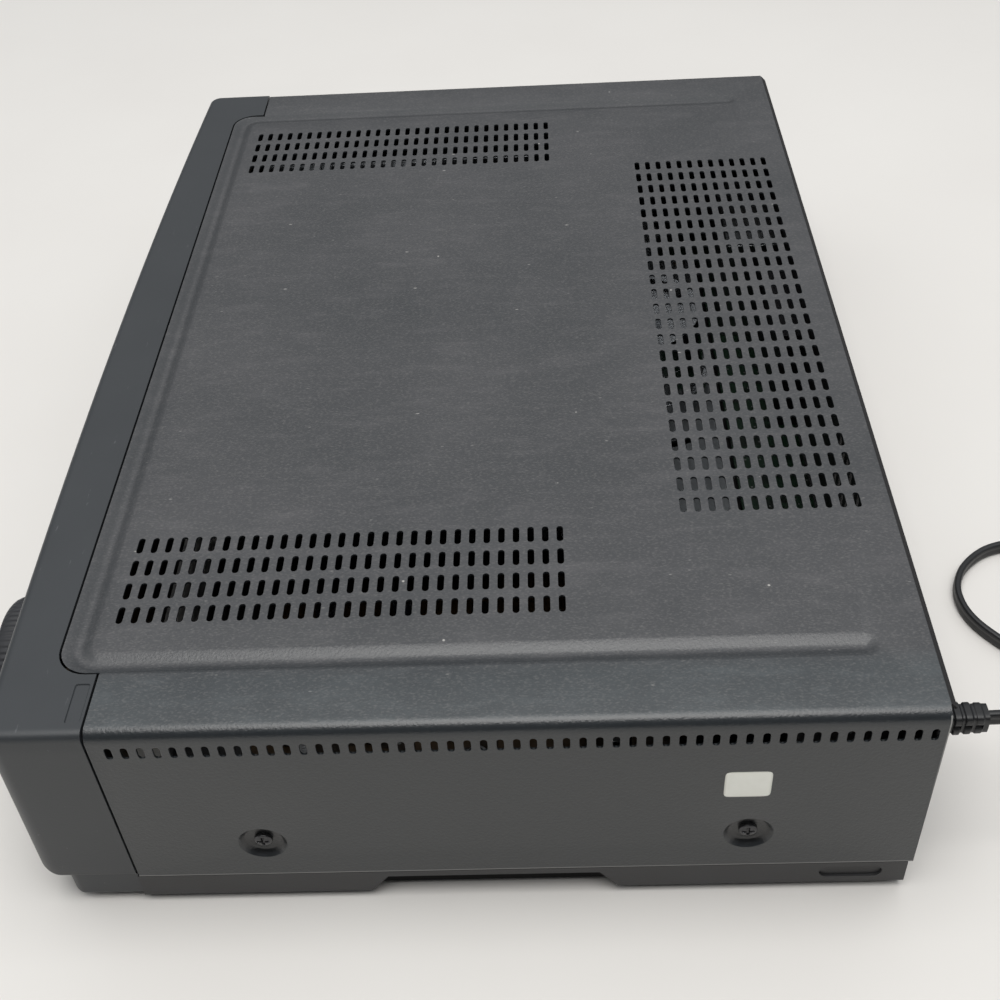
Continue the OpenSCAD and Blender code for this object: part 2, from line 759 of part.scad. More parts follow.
rf_zs = [32, 56];
rca_r = 4.15;
rca_collar_r = 5.5;
av_xs = [av_x - 18, av_x, av_x + 18];
av_zs = [36, 58];

// Two threaded aerial sockets on the tuner
module rf_jacks() color("silver") {
    for (z = rf_zs)
        difference() {
            union() {
                rod_y(tuner_x, z, panel_back - 1, rear_y + jack_out, rf_r);
                translate([tuner_x, frame_rear, z]) rotate([-90, 0, 0]) cylinder(h = 2, r = 6.4, $fn = 6);
            }
            rod_y(tuner_x, z, rear_y + jack_out - 8, rear_y + jack_out + 1, 3.3);
        }
}

// Phono sockets: two rows at the rear and one row behind the front flap
module av_jacks() color("#1d1d1f") {
    block([av_x - 27, panel_back - 12, board_top], [av_x + 27, panel_back, av_zs[1] + 8]);
    for (x = av_xs, z = av_zs)
        difference() {
            union() {
                rod_y(x, z, panel_back - 1, frame_rear + 0.5, rca_collar_r);
                rod_y(x, z, panel_back - 1, rear_y + 8, rca_r);
            }
            rod_y(x, z, rear_y - 1, rear_y + 9, 1.7);
        }
    for (i = [-1, 1])
        difference() {
            union() {
                rod_y(flap_x + i * 15, flap_z, front_y + 9, board_y, rca_r);
                block([flap_x + i * 15 - 6, board_y - 6, flap_z - 6],
                    [flap_x + i * 15 + 6, board_y, flap_z + 6]);
            }
            rod_y(flap_x + i * 15, flap_z, front_y + 8, front_y + 15, 1.7);
        }
}

// Blank white sticker on the right side
module side_label() color("ivory") {
    translate([case_x, cover_rear - 58.4, 61]) rotate([90, 0, 90])
        linear_extrude(0.1) round_rect([-7.4, -6.5], [7.4, 6.5], 1.5);
}

// Steel deck plate with the guide slots, bearing holes and riveted pins
module deck_plate() color("silver") {
    difference() {
        union() {
            block([deck_x - deck_half, deck_front, deck_z], [deck_x + deck_half, deck_rear, deck_top]);
            for (s = [-1, 1]) post([deck_x + s * reel_gap / 2, reel_y], deck_z, deck_top + reel_pin_h, pin_r);
            post(pinch_pivot, deck_z, deck_top + pivot_pin_h, pin_r);
            post(idler_at, deck_z, deck_top + arm_pin_h, pin_r);
            post(tension_at, deck_z, deck_top + arm_pin_h, pin_r);
            post(cam_at, floor_z + 1, deck_top, pin_r);
        }
        for (sx = [-1, 1], sy = [-1, 1])
            post(deck_corner(sx, sy), deck_z - 1, deck_top + 1, screw_r + run_fit);
        for (s = [-1, 1])
            translate([deck_x, drum_y, deck_z - 1]) mirror([s < 0 ? 1 : 0, 0, 0])
                guide_sector(-67, guide_sweep + 14, guide_path_r - path_half, guide_path_r + path_half, 4);
        post(capstan_at, deck_z - 1, deck_top + 1, bearing_r + 0.2);
        post(pinion_at, deck_z - 1, deck_top + 1, 4);
    }
}

// Part of a ring about the drum's axis, from an angle on
module guide_sector(from, sweep, r0, r1, height) {
    rotate(from) rotate_extrude(angle = sweep, $fn = 96)
        translate([r0, 0]) square([r1 - r0, height]);
}

// Four screws that hold the deck plate to its posts
module deck_screws() color("gold") {
    for (sx = [-1, 1], sy = [-1, 1])
        translate([deck_corner(sx, sy)[0], deck_corner(sx, sy)[1], deck_top])
            difference() {
                union() {
                    cylinder(h = head_h, r = head_r);
                    translate([0, 0, -deck_t]) cylinder(h = deck_t, r = screw_r);
                    translate([0, 0, -deck_t - 6]) cylinder(h = 6 + eps, r = pilot_r - run_fit);
                }
                for (a = [0, 90]) rotate(a) translate([-2, -0.4, head_h - 1]) cube([4, 0.8, 2]);
            }
}

// Everything on the drum stands in this tilted frame
module on_drum(z) {
    translate([deck_x, drum_y, deck_top + 6]) rotate([drum_tilt, 0, 0]) translate([0, 0, z]) children();
}
lower_h = 16;
upper_h = 17;
shaft_r = 3;

// Fixed lower drum on its wedge-shaped base
module lower_drum() color("#b9bcc0") {
    difference() {
        union() {
            post([deck_x, drum_y], deck_top, deck_top + 9, drum_r + 3);
            on_drum(0) cylinder(h = lower_h, r = drum_r);
        }
        on_drum(2) cylinder(h = lower_h, r = shaft_r + run_fit);
        on_drum(lower_h - 3) difference() {
            cylinder(h = 4, r = drum_r - 4);
            translate([0, 0, -1]) cylinder(h = 6, r = 9);
        }
    }
}

// Rotating upper drum with its shaft and hub screws
module upper_drum() color("#d4d7da") {
    difference() {
        union() {
            on_drum(lower_h + seat_gap) cylinder(h = upper_h, r = drum_r);
            on_drum(2 + seat_gap) cylinder(h = lower_h, r = shaft_r);
            on_drum(lower_h + upper_h) cylinder(h = 3, r = 10);
        }
        on_drum(lower_h + upper_h - 3) difference() {
            cylinder(h = 6, r = drum_r - 4);
            translate([0, 0, -1]) cylinder(h = 8, r = 14);
        }
        for (a = [0, 180])
            on_drum(lower_h) rotate(a) translate([drum_r, 0, 0]) cube([4, 1.5, 1.6], center = true);
    }
}

// Erase head on its post, facing the tape path
module erase_head() color("#7d7f83") {
    post(erase_at, deck_top, deck_top + 8, 4);
    translate([erase_at[0], erase_at[1], deck_top + 8]) rotate(-15) block([-4, -5, 0], [5, 5, 16]);
}

// Audio and control head on its adjusting plate with three spring screws
module control_head() color("#8a8c90") {
    post(control_at, deck_top, deck_top + 6, 5);
    translate([control_at[0], control_at[1], deck_top + 6]) {
        block([-7, -8, 0], [8, 8, 1.5]);
        block([-5.5, -6, 1.5], [5, 6, 17]);
        for (p = [[6.5, -6], [6.5, 6]])
            translate([p[0], p[1], 1.5]) cylinder(h = 6, r = 1.2);
    }
}

// Side brackets that carry the cassette slide, with a level slot for its pins
module cassette_brackets() color("#a9acb0") {
    z1 = slide_top + holder_t;
    for (s = [-1, 1])
        translate([deck_x, 0, 0]) mirror([s < 0 ? 1 : 0, 0, 0])
            difference() {
                union() {
                    block([bracket_half - holder_t, holder_y + 1, deck_top + 1],
                        [bracket_half, holder_y + holder_l + draw_in, z1]);
                    block([bracket_half - holder_t, deck_front, deck_top],
                        [bracket_half, holder_y + holder_l + draw_in, deck_top + 2]);
                    block([bracket_half - holder_t, deck_front + 16, deck_top],
                        [deck_half - 1, holder_y + holder_l + draw_in - 10, deck_top + holder_t]);
                }
                for (y = slide_pin_ys)
                    translate([bracket_half - holder_t - 1, y + draw_in / 2, slide_pin_z])
                        rotate([90, 0, 90]) linear_extrude(holder_t + 2)
                            slot2d(draw_in + 2 * pin_r + 1, 2 * pin_r + 0.4);
            }
}
slide_in = 10;
slide_l = 76;
bridge_w = 12;
pin_pitch = 24;
slide_pin_ys = [holder_y + 22, holder_y + 22 + 2 * pin_pitch];
slide_pin_z = holder_z + 20;
slide_y0 = holder_y + slide_in;
slide_y1 = slide_y0 + slide_l;
holder_pin_ys = [holder_y + 34, holder_y + 34 + pin_pitch];
holder_pin_z = holder_z + 6;

// Slide that draws the holder in: two side plates joined by a bridge over the top
module carriage_slide() color("#c3c5c8") {
    for (s = [-1, 1])
        translate([deck_x, 0, 0]) mirror([s < 0 ? 1 : 0, 0, 0])
            difference() {
                union() {
                    block([slide_half - holder_t, slide_y0, holder_low_z],
                        [slide_half, slide_y1, slide_top + holder_t]);
                    for (y = slide_pin_ys)
                        rod_x(y, slide_pin_z, slide_half - eps, bracket_half, pin_r);
                }
                for (y = holder_pin_ys)
                    translate([slide_half - holder_t - 1, y, holder_pin_z - drop / 2])
                        rotate([90, 0, 90]) linear_extrude(holder_t + 2)
                            rotate(90) slot2d(drop + 2 * pin_r + 1, 2 * pin_r + 0.4);
            }
    for (y = [slide_y0 + bridge_w, slide_y1 - 2 * bridge_w])
        block([deck_x - slide_half, y, slide_top], [deck_x + slide_half, y + bridge_w, slide_top + holder_t]);
}

// Sheet holder that takes the cassette: ledges, sides, roof and the pins in the slide
module cassette_holder() color("#d0d2d5") {
    for (s = [-1, 1])
        translate([deck_x, 0, 0]) mirror([s < 0 ? 1 : 0, 0, 0]) {
            block([holder_half - holder_t, holder_y, holder_z],
                [holder_half, holder_y + holder_l, holder_z + holder_h]);
            block([holder_half - 14, holder_y, holder_z],
                [holder_half, holder_y + holder_l, holder_z + holder_t]);
            block([holder_half - 36, holder_y, holder_z + holder_h - holder_t],
                [holder_half, holder_y + holder_l, holder_z + holder_h]);
            for (y = holder_pin_ys) rod_x(y, holder_pin_z, holder_half - eps, slide_half - 0.2, pin_r);
        }
    block([deck_x - holder_half, holder_y + 30, holder_z + holder_h - holder_t],
        [deck_x + holder_half, holder_y + 62, holder_z + holder_h]);
}

// Door that swings in when a cassette is pushed against it
module cassette_door() color("#34363a") {
    left = deck_x - door_half;
    right = deck_x + door_half;
    intersection() {
        bowed_slab(0.4, 0.4 + door_t, side_seam);
        block([left, front_y - 1, door_z], [right, front_y + 9, door_axis_z + 1]);
    }
    block([left, front_y + door_t + 0.2, door_axis_z - 1.6], [right, door_axis_y, door_axis_z + 1]);
    rod_x(door_axis_y, door_axis_z, left, right, 1.6);
    rod_x(door_axis_y, door_axis_z, left - door_pin_l, right + door_pin_l + spring_l, door_pin_r);
}

// Torsion spring, drawn as a sleeve on the door's pin beside the right ear, with its leg
module door_spring() color("#9a9a9a") {
    x = deck_x + mouth_w / 2 + ear_gap + ear_t;
    wire_r = (spring_r - spring_in_r) / 2;
    difference() {
        rod_x(door_axis_y, door_axis_z, x, x + spring_l, spring_r);
        rod_x(door_axis_y, door_axis_z, x - 1, x + spring_l + 1, spring_in_r);
    }
    rod_y(x + spring_l - wire_r, door_axis_z + spring_r - wire_r, door_axis_y, door_axis_y + 8, wire_r);
}

// Sprung shuttle ring with its bearing hub through the front
module shuttle_ring() color("#2c2d30") {
    y0 = front_y - dial_out;
    y1 = face_y(dial_x - ring_r) - 0.4;
    difference() {
        union() {
            translate([dial_x, y0, dial_z]) rotate([-90, 0, 0]) {
                cylinder(h = 2, r1 = ring_r - 2, r2 = ring_r);
                translate([0, 0, 2]) cylinder(h = y1 - y0 - 2, r = ring_r);
            }
            rod_y(dial_x, dial_z, y1 - eps, y1 + wall + 3, hub_r);
        }
        rod_y(dial_x, dial_z, y0 - 1, y0 + 7, jog_r + 0.4);
        rod_y(dial_x, dial_z, y0 - 1, y1 + 20, shaft_r + run_fit);
    }
}

// Jog dial in the ring's recess, with a finger hollow and a shaft to the encoder
module jog_dial() color("#3f4044") {
    y0 = front_y - dial_out + 0.8;
    difference() {
        union() {
            rod_y(dial_x, dial_z, y0, front_y - dial_out + 7 - seat_gap, jog_r);
            rod_y(dial_x, dial_z, y0 + 1, board_y - 5 - seat_gap, shaft_r);
        }
        translate([dial_x + jog_r * 0.55, y0 - 2.2, dial_z]) sphere(r = 4.5);
    }
}

// Flap over the front sockets, hinged along its lower edge
module jack_flap() color("#34363a") {
    y = flap_axis_y - flap_t / 2;
    block([flap_x - flap_half, y, flap_axis_z], [flap_x + flap_half, y + flap_t, flap_z + flap_h / 2]);
    rod_x(flap_axis_y, flap_axis_z, flap_x - flap_half, flap_x + flap_half, flap_t / 2);
    rod_x(flap_axis_y, flap_axis_z, flap_x - flap_half - 1.8, flap_x + flap_half + 1.8, flap_pin_r);
}

// Capstan shaft with the flywheel under the deck
module capstan_rotor() color("#c9b27a") {
    difference() {
        union() {
            post(capstan_at, floor_z + 2.5, floor_z + 8.5, flywheel_r);
            post(capstan_at, floor_z + 2, deck_top + 30, capstan_r);
        }
        translate([capstan_at[0], capstan_at[1], floor_z + 6.5]) difference() {
            cylinder(h = 3, r = flywheel_r - 4);
            translate([0, 0, -1]) cylinder(h = 5, r = 7);
        }
    }
}

// Capstan bearing and motor plate bolted under the deck
module capstan_stator() color("#5a6a4a") {
    difference() {
        union() {
            post(capstan_at, floor_z + 8.5 + seat_gap, deck_z, stator_r);
            post(capstan_at, deck_z - 1, deck_top + bearing_h, bearing_r);
        }
        post(capstan_at, floor_z, deck_top + bearing_h + 1, capstan_r + run_fit);
    }
}

// Swinging arm with the pinch roller's axle
module pinch_arm() color("#b0b3b7") {
    z0 = deck_top + seat_gap;
    d = pinch_at - pinch_pivot;
    difference() {
        union() {
            post(pinch_pivot, z0, z0 + 14, 4);
            translate([pinch_pivot[0], pinch_pivot[1], z0 + 6]) rotate(atan2(d[1], d[0]))
                translate([0, -3, 0]) cube([norm(d), 6, 2]);
            post(pinch_at, z0 + 6, z0 + 8, 4);
            post(pinch_at, z0 + 6, z0 + 24, 1.5);
        }
        post(pinch_pivot, z0 - 1, z0 + 15, pin_r + run_fit);
    }
}

// Rubber roller that holds the tape against the capstan
module pinch_roller() color("#1b1b1b") {
    z0 = deck_top + seat_gap + 8 + seat_gap;
    difference() {
        post(pinch_at, z0, z0 + 14, pinch_r);
        post(pinch_at, z0 - 1, z0 + 15, 1.5 + run_fit);
    }
}

// Reel table with toothed rim, seat and the splined spindle
module reel_table(x) {
    z0 = deck_top + seat_gap;
    difference() {
        union() {
            post([x, reel_y], z0, z0 + 2.5, reel_r);
            post([x, reel_y], z0, z0 + 6, 11);
            post([x, reel_y], z0, z0 + 16, 4.6);
            for (a = [0, 120, 240])
                translate([x, reel_y, z0]) rotate(a) translate([3, -0.8, 0]) cube([3, 1.6, 13]);
        }
        post([x, reel_y], z0 - 1, deck_top + reel_pin_h + seat_gap, pin_r + run_fit);
    }
}
module supply_reel() color("#dedede") reel_table(deck_x - reel_gap / 2);
module takeup_reel() color("#dedede") reel_table(deck_x + reel_gap / 2);

// Idler arm that swings the idler wheel from reel to reel
module idler_arm() color("#c8c060") {
    z0 = deck_top + seat_gap;
    d = idler_wheel_at - idler_at;
    difference() {
        union() {
            post(idler_at, z0, z0 + 6, 4.5);
            translate([idler_at[0], idler_at[1], z0 + 4]) rotate(atan2(d[1], d[0]))
                translate([0, -3, 0]) cube([norm(d), 6, 2]);
            post(idler_wheel_at, z0 + 4, z0 + 6, 4);
            post(idler_wheel_at, z0, z0 + 6, 1.5);
        }
        post(idler_at, z0 - 1, z0 + 7, pin_r + run_fit);
    }
}

// Idler wheel between the reel tables
module idler_wheel() color("#f0f0e8") {
    z0 = deck_top + seat_gap;
    difference() {
        post(idler_wheel_at, z0, z0 + 3.6, idler_r);
        post(idler_wheel_at, z0 - 1, z0 + 4, 1.5 + run_fit);
    }
}

// Back-tension arm with its tape post
module tension_arm() color("#b0b3b7") {
    z0 = deck_top + seat_gap;
    difference() {
        union() {
            post(tension_at, z0, z0 + 6, 4);
            translate([tension_at[0], tension_at[1] - 3, z0 + 3]) cube([38, 6, 2]);
            post(tension_at + [38, 0], z0 + 3, z0 + 5, 3);
            post(tension_at + [38, 0], z0 + 3, z0 + 26, 1.5);
        }
        post(tension_at, z0 - 1, z0 + 7, pin_r + run_fit);
    }
}

// Guide carriage: base on the deck, foot in the curved slot, roller post and slant post
module guide(s) {
    z0 = deck_top + seat_gap;
    from = -60;
    translate([deck_x, drum_y, 0]) mirror([s < 0 ? 1 : 0, 0, 0]) {
        translate([0, 0, z0]) guide_sector(from - 8, 16, guide_path_r - 7, guide_path_r + 7, 4);
        translate([0, 0, deck_z - 1]) guide_sector(from - 4, 8,
            guide_path_r - path_half + 0.2, guide_path_r + path_half - 0.2, z0 - deck_z + 2);
        translate([0, 0, deck_z - seat_gap - 1.5]) guide_sector(from - 7, 14,
            guide_path_r - 6, guide_path_r + 6, 1.5);
        rotate(from + 3) translate([guide_path_r, 0, z0 + 4 - eps]) {
            cylinder(h = 22, r = 3);
            translate([0, 0, 22]) cylinder(h = 2, r = 4);
        }
        rotate(from - 5) translate([guide_path_r - 2, 0, z0 + 3])
            rotate([0, -12, 0]) cylinder(h = 22, r = 1.2);
    }
}
module supply_guide() color("#9fa3a8") guide(-1);
module takeup_guide() color("#9fa3a8") guide(1);

// Outline of a straight-sided gear with clearance at its teeth
module gear2d(teeth) {
    pitch_r = gear_m * teeth / 2;
    step = 360 / teeth;
    polygon([for (i = [0:teeth - 1], p = [[-0.30, -1.2], [-0.12, 0.85], [0.12, 0.85], [0.30, -1.2]])
        let (r = pitch_r + p[1] * gear_m, a = (i + p[0]) * step) [r * cos(a), r * sin(a)]]);
}
gear_z = floor_z + 4;

// Cam gear under the deck that moves the loading works
module cam_gear() color("#e8e4d4") {
    difference() {
        translate([cam_at[0], cam_at[1], gear_z]) rotate(90 + 180 / cam_teeth)
            linear_extrude(5) gear2d(cam_teeth);
        post(cam_at, gear_z - 1, gear_z + 6, pin_r + run_fit);
        translate([cam_at[0], cam_at[1], gear_z + 3]) difference() {
            cylinder(h = 3, r = 12);
            translate([0, 0, -1]) cylinder(h = 5, r = 5);
        }
    }
}

// Pinion on the loading motor's shaft
module motor_pinion() color("#f0f0e8") {
    translate([pinion_at[0], pinion_at[1], gear_z]) rotate(-90) linear_extrude(5) gear2d(pinion_teeth);
    post(pinion_at, gear_z, deck_top + 2, 1);
}

// Loading motor standing on the deck over its pinion
module loading_motor() color("#9a9da1") {
    difference() {
        union() {
            post(pinion_at, deck_top, deck_top + 28, 11);
            post(pinion_at, deck_top + 28, deck_top + 30, 4);
        }
        post(pinion_at, deck_top - 1, deck_top + 2 + seat_gap, 1 + run_fit);
    }
}

// L-shaped main board along the left and behind the deck
module main_board() color("#2f5a3a") {
    block([-board_edge, deck_front - 20, board_z],
        [-board_edge + left_board_w, panel_back - 1, board_top]);
    block([-board_edge, rear_strip_y, board_z], [deck_x + deck_half, panel_back - 1, board_top]);
}

// Power board at the right rear
module power_board() color("#7a6238") {
    block([power_x0, power_y0, board_z], [board_edge, panel_back - 1, board_top]);
}

// Electrolytic capacitors standing on the two boards
module capacitors() color("#26324a") {
    post([power_x0, works_y] + reservoir_in, board_top, board_top + reservoir_h, reservoir_r);
    for (p = smoother_in)
        post([power_x0, works_y] + p, board_top, board_top + smoother_h, smoother_r);
    for (i = [0:6], j = [0:2])
        post([power_x0 + 4 * small_cap_r + i * cap_step, power_y0 + 14 + j * cap_row + (i % 2) * cap_stagger],
            board_top, board_top + small_cap_h + small_cap_h / 3 * ((i + j) % 3), small_cap_r);
    for (i = [0:5])
        post([-board_edge + (i % 2 == 0 ? 0.29 : 0.67) * left_board_w, deck_front + 20 + i * 14],
            board_top, board_top + board_cap_h, small_cap_r);
}

// Ferrite transformer with its winding
module transformer() color("#8f6a1e") {
    x = power_x0 + core_in[0];
    y = works_y + core_in[1];
    block([x - core_l / 2, y - core_w / 2, board_top],
        [x + core_l / 2, y + core_w / 2, board_top + core_tall]);
    block([x - winding_l / 2, y - winding_w / 2, board_top + 4],
        [x + winding_l / 2, y + winding_w / 2, board_top + core_tall - 4]);
}

// Aluminium heat sink with upright fins
module heat_sink() color("#aab0b4") {
    x = power_x0 + sink_in[0];
    y0 = works_y + sink_in[1] - sink_l / 2 - 2;
    block([x - 2, y0, board_top], [x + 1, y0 + sink_l, board_top + sink_tall]);
    for (i = [0:6])
        block([x + 1 - eps, y0 + i * fin_pitch, board_top],
            [x + sink_fin, y0 + i * fin_pitch + 1.5, board_top + sink_tall]);
}

// Tuner in its screened can
module tuner_can() color("#c8cacc") {
    block([tuner_x - can_l / 2, panel_back - 1 - can_w, board_top],
        [tuner_x + can_l / 2, panel_back - 1, board_top + can_h]);
}

// Ribbed strain relief clamped in the rear panel
module strain_relief() color("#1c1c1d") {
    translate([lead_x, 0, lead_z]) {
        block([-5.8, panel_back - 2, -4.8], [5.8, relief_y + 0.1, 4.8]);
        block([-7.5, panel_back - 3.5, -6.5], [7.5, panel_back - 0.1, 6.5]);
        block([-7, relief_y + 0.1, -6], [7, relief_y + 2.6, 6]);
        for (i = [0:3])
            block([-5.6 + i * 0.3, relief_y + 4 + i * 5.6, -4.8 + i * 0.25],
                [5.6 - i * 0.3, relief_y + 7.9 + i * 5.6, 4.8 - i * 0.25]);
        block([-4, relief_y + 2.5, -3], [4, lead_exit_y, 3]);
    }
}

// Frame of the lead at one ring: its place, its level side direction and its thickness direction
function lead_dir(p, i) =
    let (a = p[max(i - 1, 0)], b = p[min(i + 1, len(p) - 1)], d = b - a) d / norm(d);
function level_side(d) = let (s = cross(d, [0, 0, 1])) s / norm(s);
function ring_points(at, d, sides) =
    let (s = level_side(d), u = cross(s, d))
    [for (k = [0:sides - 1])
        let (a = 360 * k / sides + (sides == 8 ? 22.5 : 0), f = sides == 8 ? 1 / cos(22.5) : 1)
        at + s * (lead_w / 2 * f * cos(a)) + u * (lead_t / 2 * (sides == 8 ? f : 1 / cos(30)) * sin(a))];
function tube_faces(rings, sides) = concat(
    [[for (k = [0:sides - 1]) k]],
    [for (i = [0:rings - 2], k = [0:sides - 1], t = [0, 1])
        let (a = i * sides + k, b = i * sides + (k + 1) % sides)
        t == 0 ? [a, a + sides, b] : [b, a + sides, b + sides]],
    [[for (k = [sides - 1:-1:0]) (rings - 1) * sides + k]]
);
module tube(p, sides) {
    polyhedron(
        points = [for (i = [0:len(p) - 1]) each ring_points(p[i], lead_dir(p, i), sides)],
        faces = tube_faces(len(p), sides)
    );
}

// Smooth curve through the route's points, three rings to each stretch
function bend_at(a, b, c, d, t) =
    0.5 * ((2 * b) + (c - a) * t + (2 * a - 5 * b + 4 * c - d) * t * t
        + (3 * b - a - 3 * c + d) * t * t * t);
lead_points = concat(
    [for (i = [0:len(route) - 2], t = [0:1 / 3:0.99])
        bend_at(route[max(i - 1, 0)], route[i], route[i + 1], route[min(i + 2, len(route) - 1)], t)],
    [route[len(route) - 1]]
);

// The coil: layer one winds in, layer two winds out, with the climb in the half turn between them
coil_step = lead_w + turn_gap;
coil_outer = coil_mean_r + coil_step * coil_turns / 4;
coil_x = route[len(route) - 1][0] + coil_outer;
coil_y = route[len(route) - 1][1] + lead_w;
layer_step = lead_t + turn_gap;
coil_rings = coil_turns * 24;
function turns_in(n, half) =
    let (u = abs(n - half))
    u >= 0.75 ? half - u : half + 0.25 - 2 * max(u - 0.25, 0);
function coil_at(i) =
    let (n = i / 24, half = coil_turns / 2, a = 180 - 360 * n,
        r = coil_outer - coil_step * turns_in(n, half),
        lift = max(0, min(1, (n - half + 0.25) / 0.5)))
    [coil_x + r * cos(a), coil_y + r * sin(a), route[len(route) - 1][2] + layer_step * lift];
coil_loops = [for (i = [0:coil_rings]) coil_at(i)];
end_l = 24;
coil_end = coil_at(coil_rings) + [end_l, 0, 0];
coil_points = concat(
    [route[len(route) - 1]], coil_loops,
    [coil_end]
);

// Least distance between rings of the coil more than half a turn apart, less the lead's own size
coil_gap = min([for (i = [0:len(coil_loops) - 14], j = [i + 13:len(coil_loops) - 1])
    let (d = coil_loops[i] - coil_loops[j], flat = norm([d[0], d[1]]))
    max(flat - lead_w, abs(d[2]) - lead_t)]);
echo(coil_gap = coil_gap);

module power_cord() color("#1c1c1d") tube(lead_points, 8);
module cord_coil() color("#1c1c1d") tube(coil_points, 6);

// Tie round the coil's turns on its right, drawn tight under the lowest turns
tie_t = 0.8;
tie_w = 4;
module cord_tie() color("#111111") {
    r0 = coil_outer - coil_step * (coil_turns / 2 + 0.25) - lead_w / 2 - tie_t - turn_gap;
    r1 = coil_outer + lead_w / 2 + tie_t + turn_gap;
    top = layer_step + lead_t + tie_t + turn_gap;
    translate([coil_x, coil_y - tie_w / 2, 0]) difference() {
        block([r0, 0, 0], [r1, tie_w, top]);
        block([r0 + tie_t, -1, tie_t], [r1 - tie_t, tie_w + 1, top - tie_t]);
    }
}

// Two-blade plug at the coil's end, lying on the table
blade_x = 6.35;
blade_t = 1.5;
blade_l = 16;
module power_plug() {
    translate([coil_end[0], coil_end[1], 0]) {
        color("#1c1c1d") block([0, -5, 0.2], [8, 5, 9.6]);
        color("#1c1c1d") block([8, -11, 0.2], [26, 11, 12]);
        color("silver") for (s = [-1, 1])
            block([25, s * blade_x - blade_t / 2, 3], [26 + blade_l, s * blade_x + blade_t / 2, 9.3]);
    }
}

main_frame();
bottom_plate();
feet();
top_cover();
cover_screws();
front_panel();
display_window();
display_tube();
front_board();
rear_panel();
rf_jacks();
av_jacks();
side_label();
deck_plate();
deck_screws();
lower_drum();
erase_head();
control_head();
cassette_brackets();
loading_motor();
capstan_stator();
main_board();
power_board();
capacitors();
transformer();
heat_sink();
tuner_can();
cassette_door();
door_spring();
carriage_slide();
cassette_holder();
power_button();
eject_button();
rewind_button();
play_button();
forward_button();
stop_button();
pause_button();
record_button();
shuttle_ring();
jog_dial();
jack_flap();
upper_drum();
capstan_rotor();
pinch_arm();
pinch_roller();
supply_reel();
takeup_reel();
idler_arm();
idler_wheel();
tension_arm();
supply_guide();
takeup_guide();
cam_gear();
motor_pinion();
strain_relief();
power_cord();
cord_coil();
cord_tie();
power_plug();
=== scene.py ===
import bmesh
import bpy
import math
import numpy as np
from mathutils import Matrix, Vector, geometry
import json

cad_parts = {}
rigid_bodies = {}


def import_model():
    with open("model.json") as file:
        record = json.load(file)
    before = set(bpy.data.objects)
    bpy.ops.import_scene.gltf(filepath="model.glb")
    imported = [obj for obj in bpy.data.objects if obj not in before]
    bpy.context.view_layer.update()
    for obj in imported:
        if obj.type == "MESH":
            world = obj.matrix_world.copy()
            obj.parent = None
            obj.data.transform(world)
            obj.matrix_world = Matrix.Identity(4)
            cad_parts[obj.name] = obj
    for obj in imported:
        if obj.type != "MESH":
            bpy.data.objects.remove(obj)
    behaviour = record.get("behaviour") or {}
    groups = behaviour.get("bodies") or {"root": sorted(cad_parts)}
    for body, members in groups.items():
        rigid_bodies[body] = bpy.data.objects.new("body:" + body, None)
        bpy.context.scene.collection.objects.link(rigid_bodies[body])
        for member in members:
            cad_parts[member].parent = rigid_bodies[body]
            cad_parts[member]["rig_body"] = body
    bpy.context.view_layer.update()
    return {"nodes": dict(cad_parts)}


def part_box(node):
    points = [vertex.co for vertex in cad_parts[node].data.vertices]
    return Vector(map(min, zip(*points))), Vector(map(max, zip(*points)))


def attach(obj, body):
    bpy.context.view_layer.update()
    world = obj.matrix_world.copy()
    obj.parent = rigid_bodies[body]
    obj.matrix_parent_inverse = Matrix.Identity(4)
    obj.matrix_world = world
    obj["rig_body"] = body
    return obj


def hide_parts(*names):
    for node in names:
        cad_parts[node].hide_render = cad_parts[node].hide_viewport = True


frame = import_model()

# The camera stands at the machine's right side and looks down on its top, a hand's breadth above
# the near edge, with the front at the picture's left and the mains lead at its right.
view = bpy.data.cameras.new("photo_view")
view.lens = 48.26
view.sensor_width = 36
view.clip_start = 0.02
camera = bpy.data.objects.new("photo_view", view)
camera.location = (0.4647, 0.0349, 0.4139)
camera.rotation_euler = tuple(math.radians(a) for a in (47.464, 2.862, 90.501))
bpy.context.scene.collection.objects.link(camera)
bpy.context.scene.camera = camera


# Mains lead. A flat twin flex, two cores side by side in black vinyl, moulded on to a two-blade plug at one
# end and into a ribbed strain relief at the other. Nearly all of its length is wound for storage.
def linear(code):
    """An sRGB hex colour as a linear colour with full alpha."""
    raw = np.array([int(code[i : i + 2], 16) / 255 for i in (1, 3, 5)])
    flat = np.where(raw <= 0.04045, raw / 12.92, ((raw + 0.055) / 1.055) ** 2.4)
    return (*flat.tolist(), 1.0)


def connect(node, inputs):
    """Feeds a node's inputs. Each is a value, a hex colour, a socket, or a node, whose first output in use
    it takes; a pair under From or To is that name's Min and Max."""
    for key, value in inputs.items():
        if key in ("From", "To"):
            connect(node, {key + " Min": value[0], key + " Max": value[1]})
            continue
        if isinstance(value, bpy.types.Node):
            value = next(socket for socket in value.outputs if socket.enabled)
        if isinstance(value, bpy.types.NodeSocket):
            node.id_data.links.new(value, node.inputs[key])
        else:
            node.inputs[key].default_value = linear(value) if isinstance(value, str) else value


def add(tree, kind, inputs=None, **settings):
    """Adds a shader node; settings go on the node itself, and inputs are as in connect. A Mix is one
    of colours."""
    node = tree.nodes.new("ShaderNode" + kind)
    if kind == "Mix":
        node.data_type = "RGBA"
    for key, value in settings.items():
        setattr(node, key, value)
    connect(node, inputs or {})
    return node


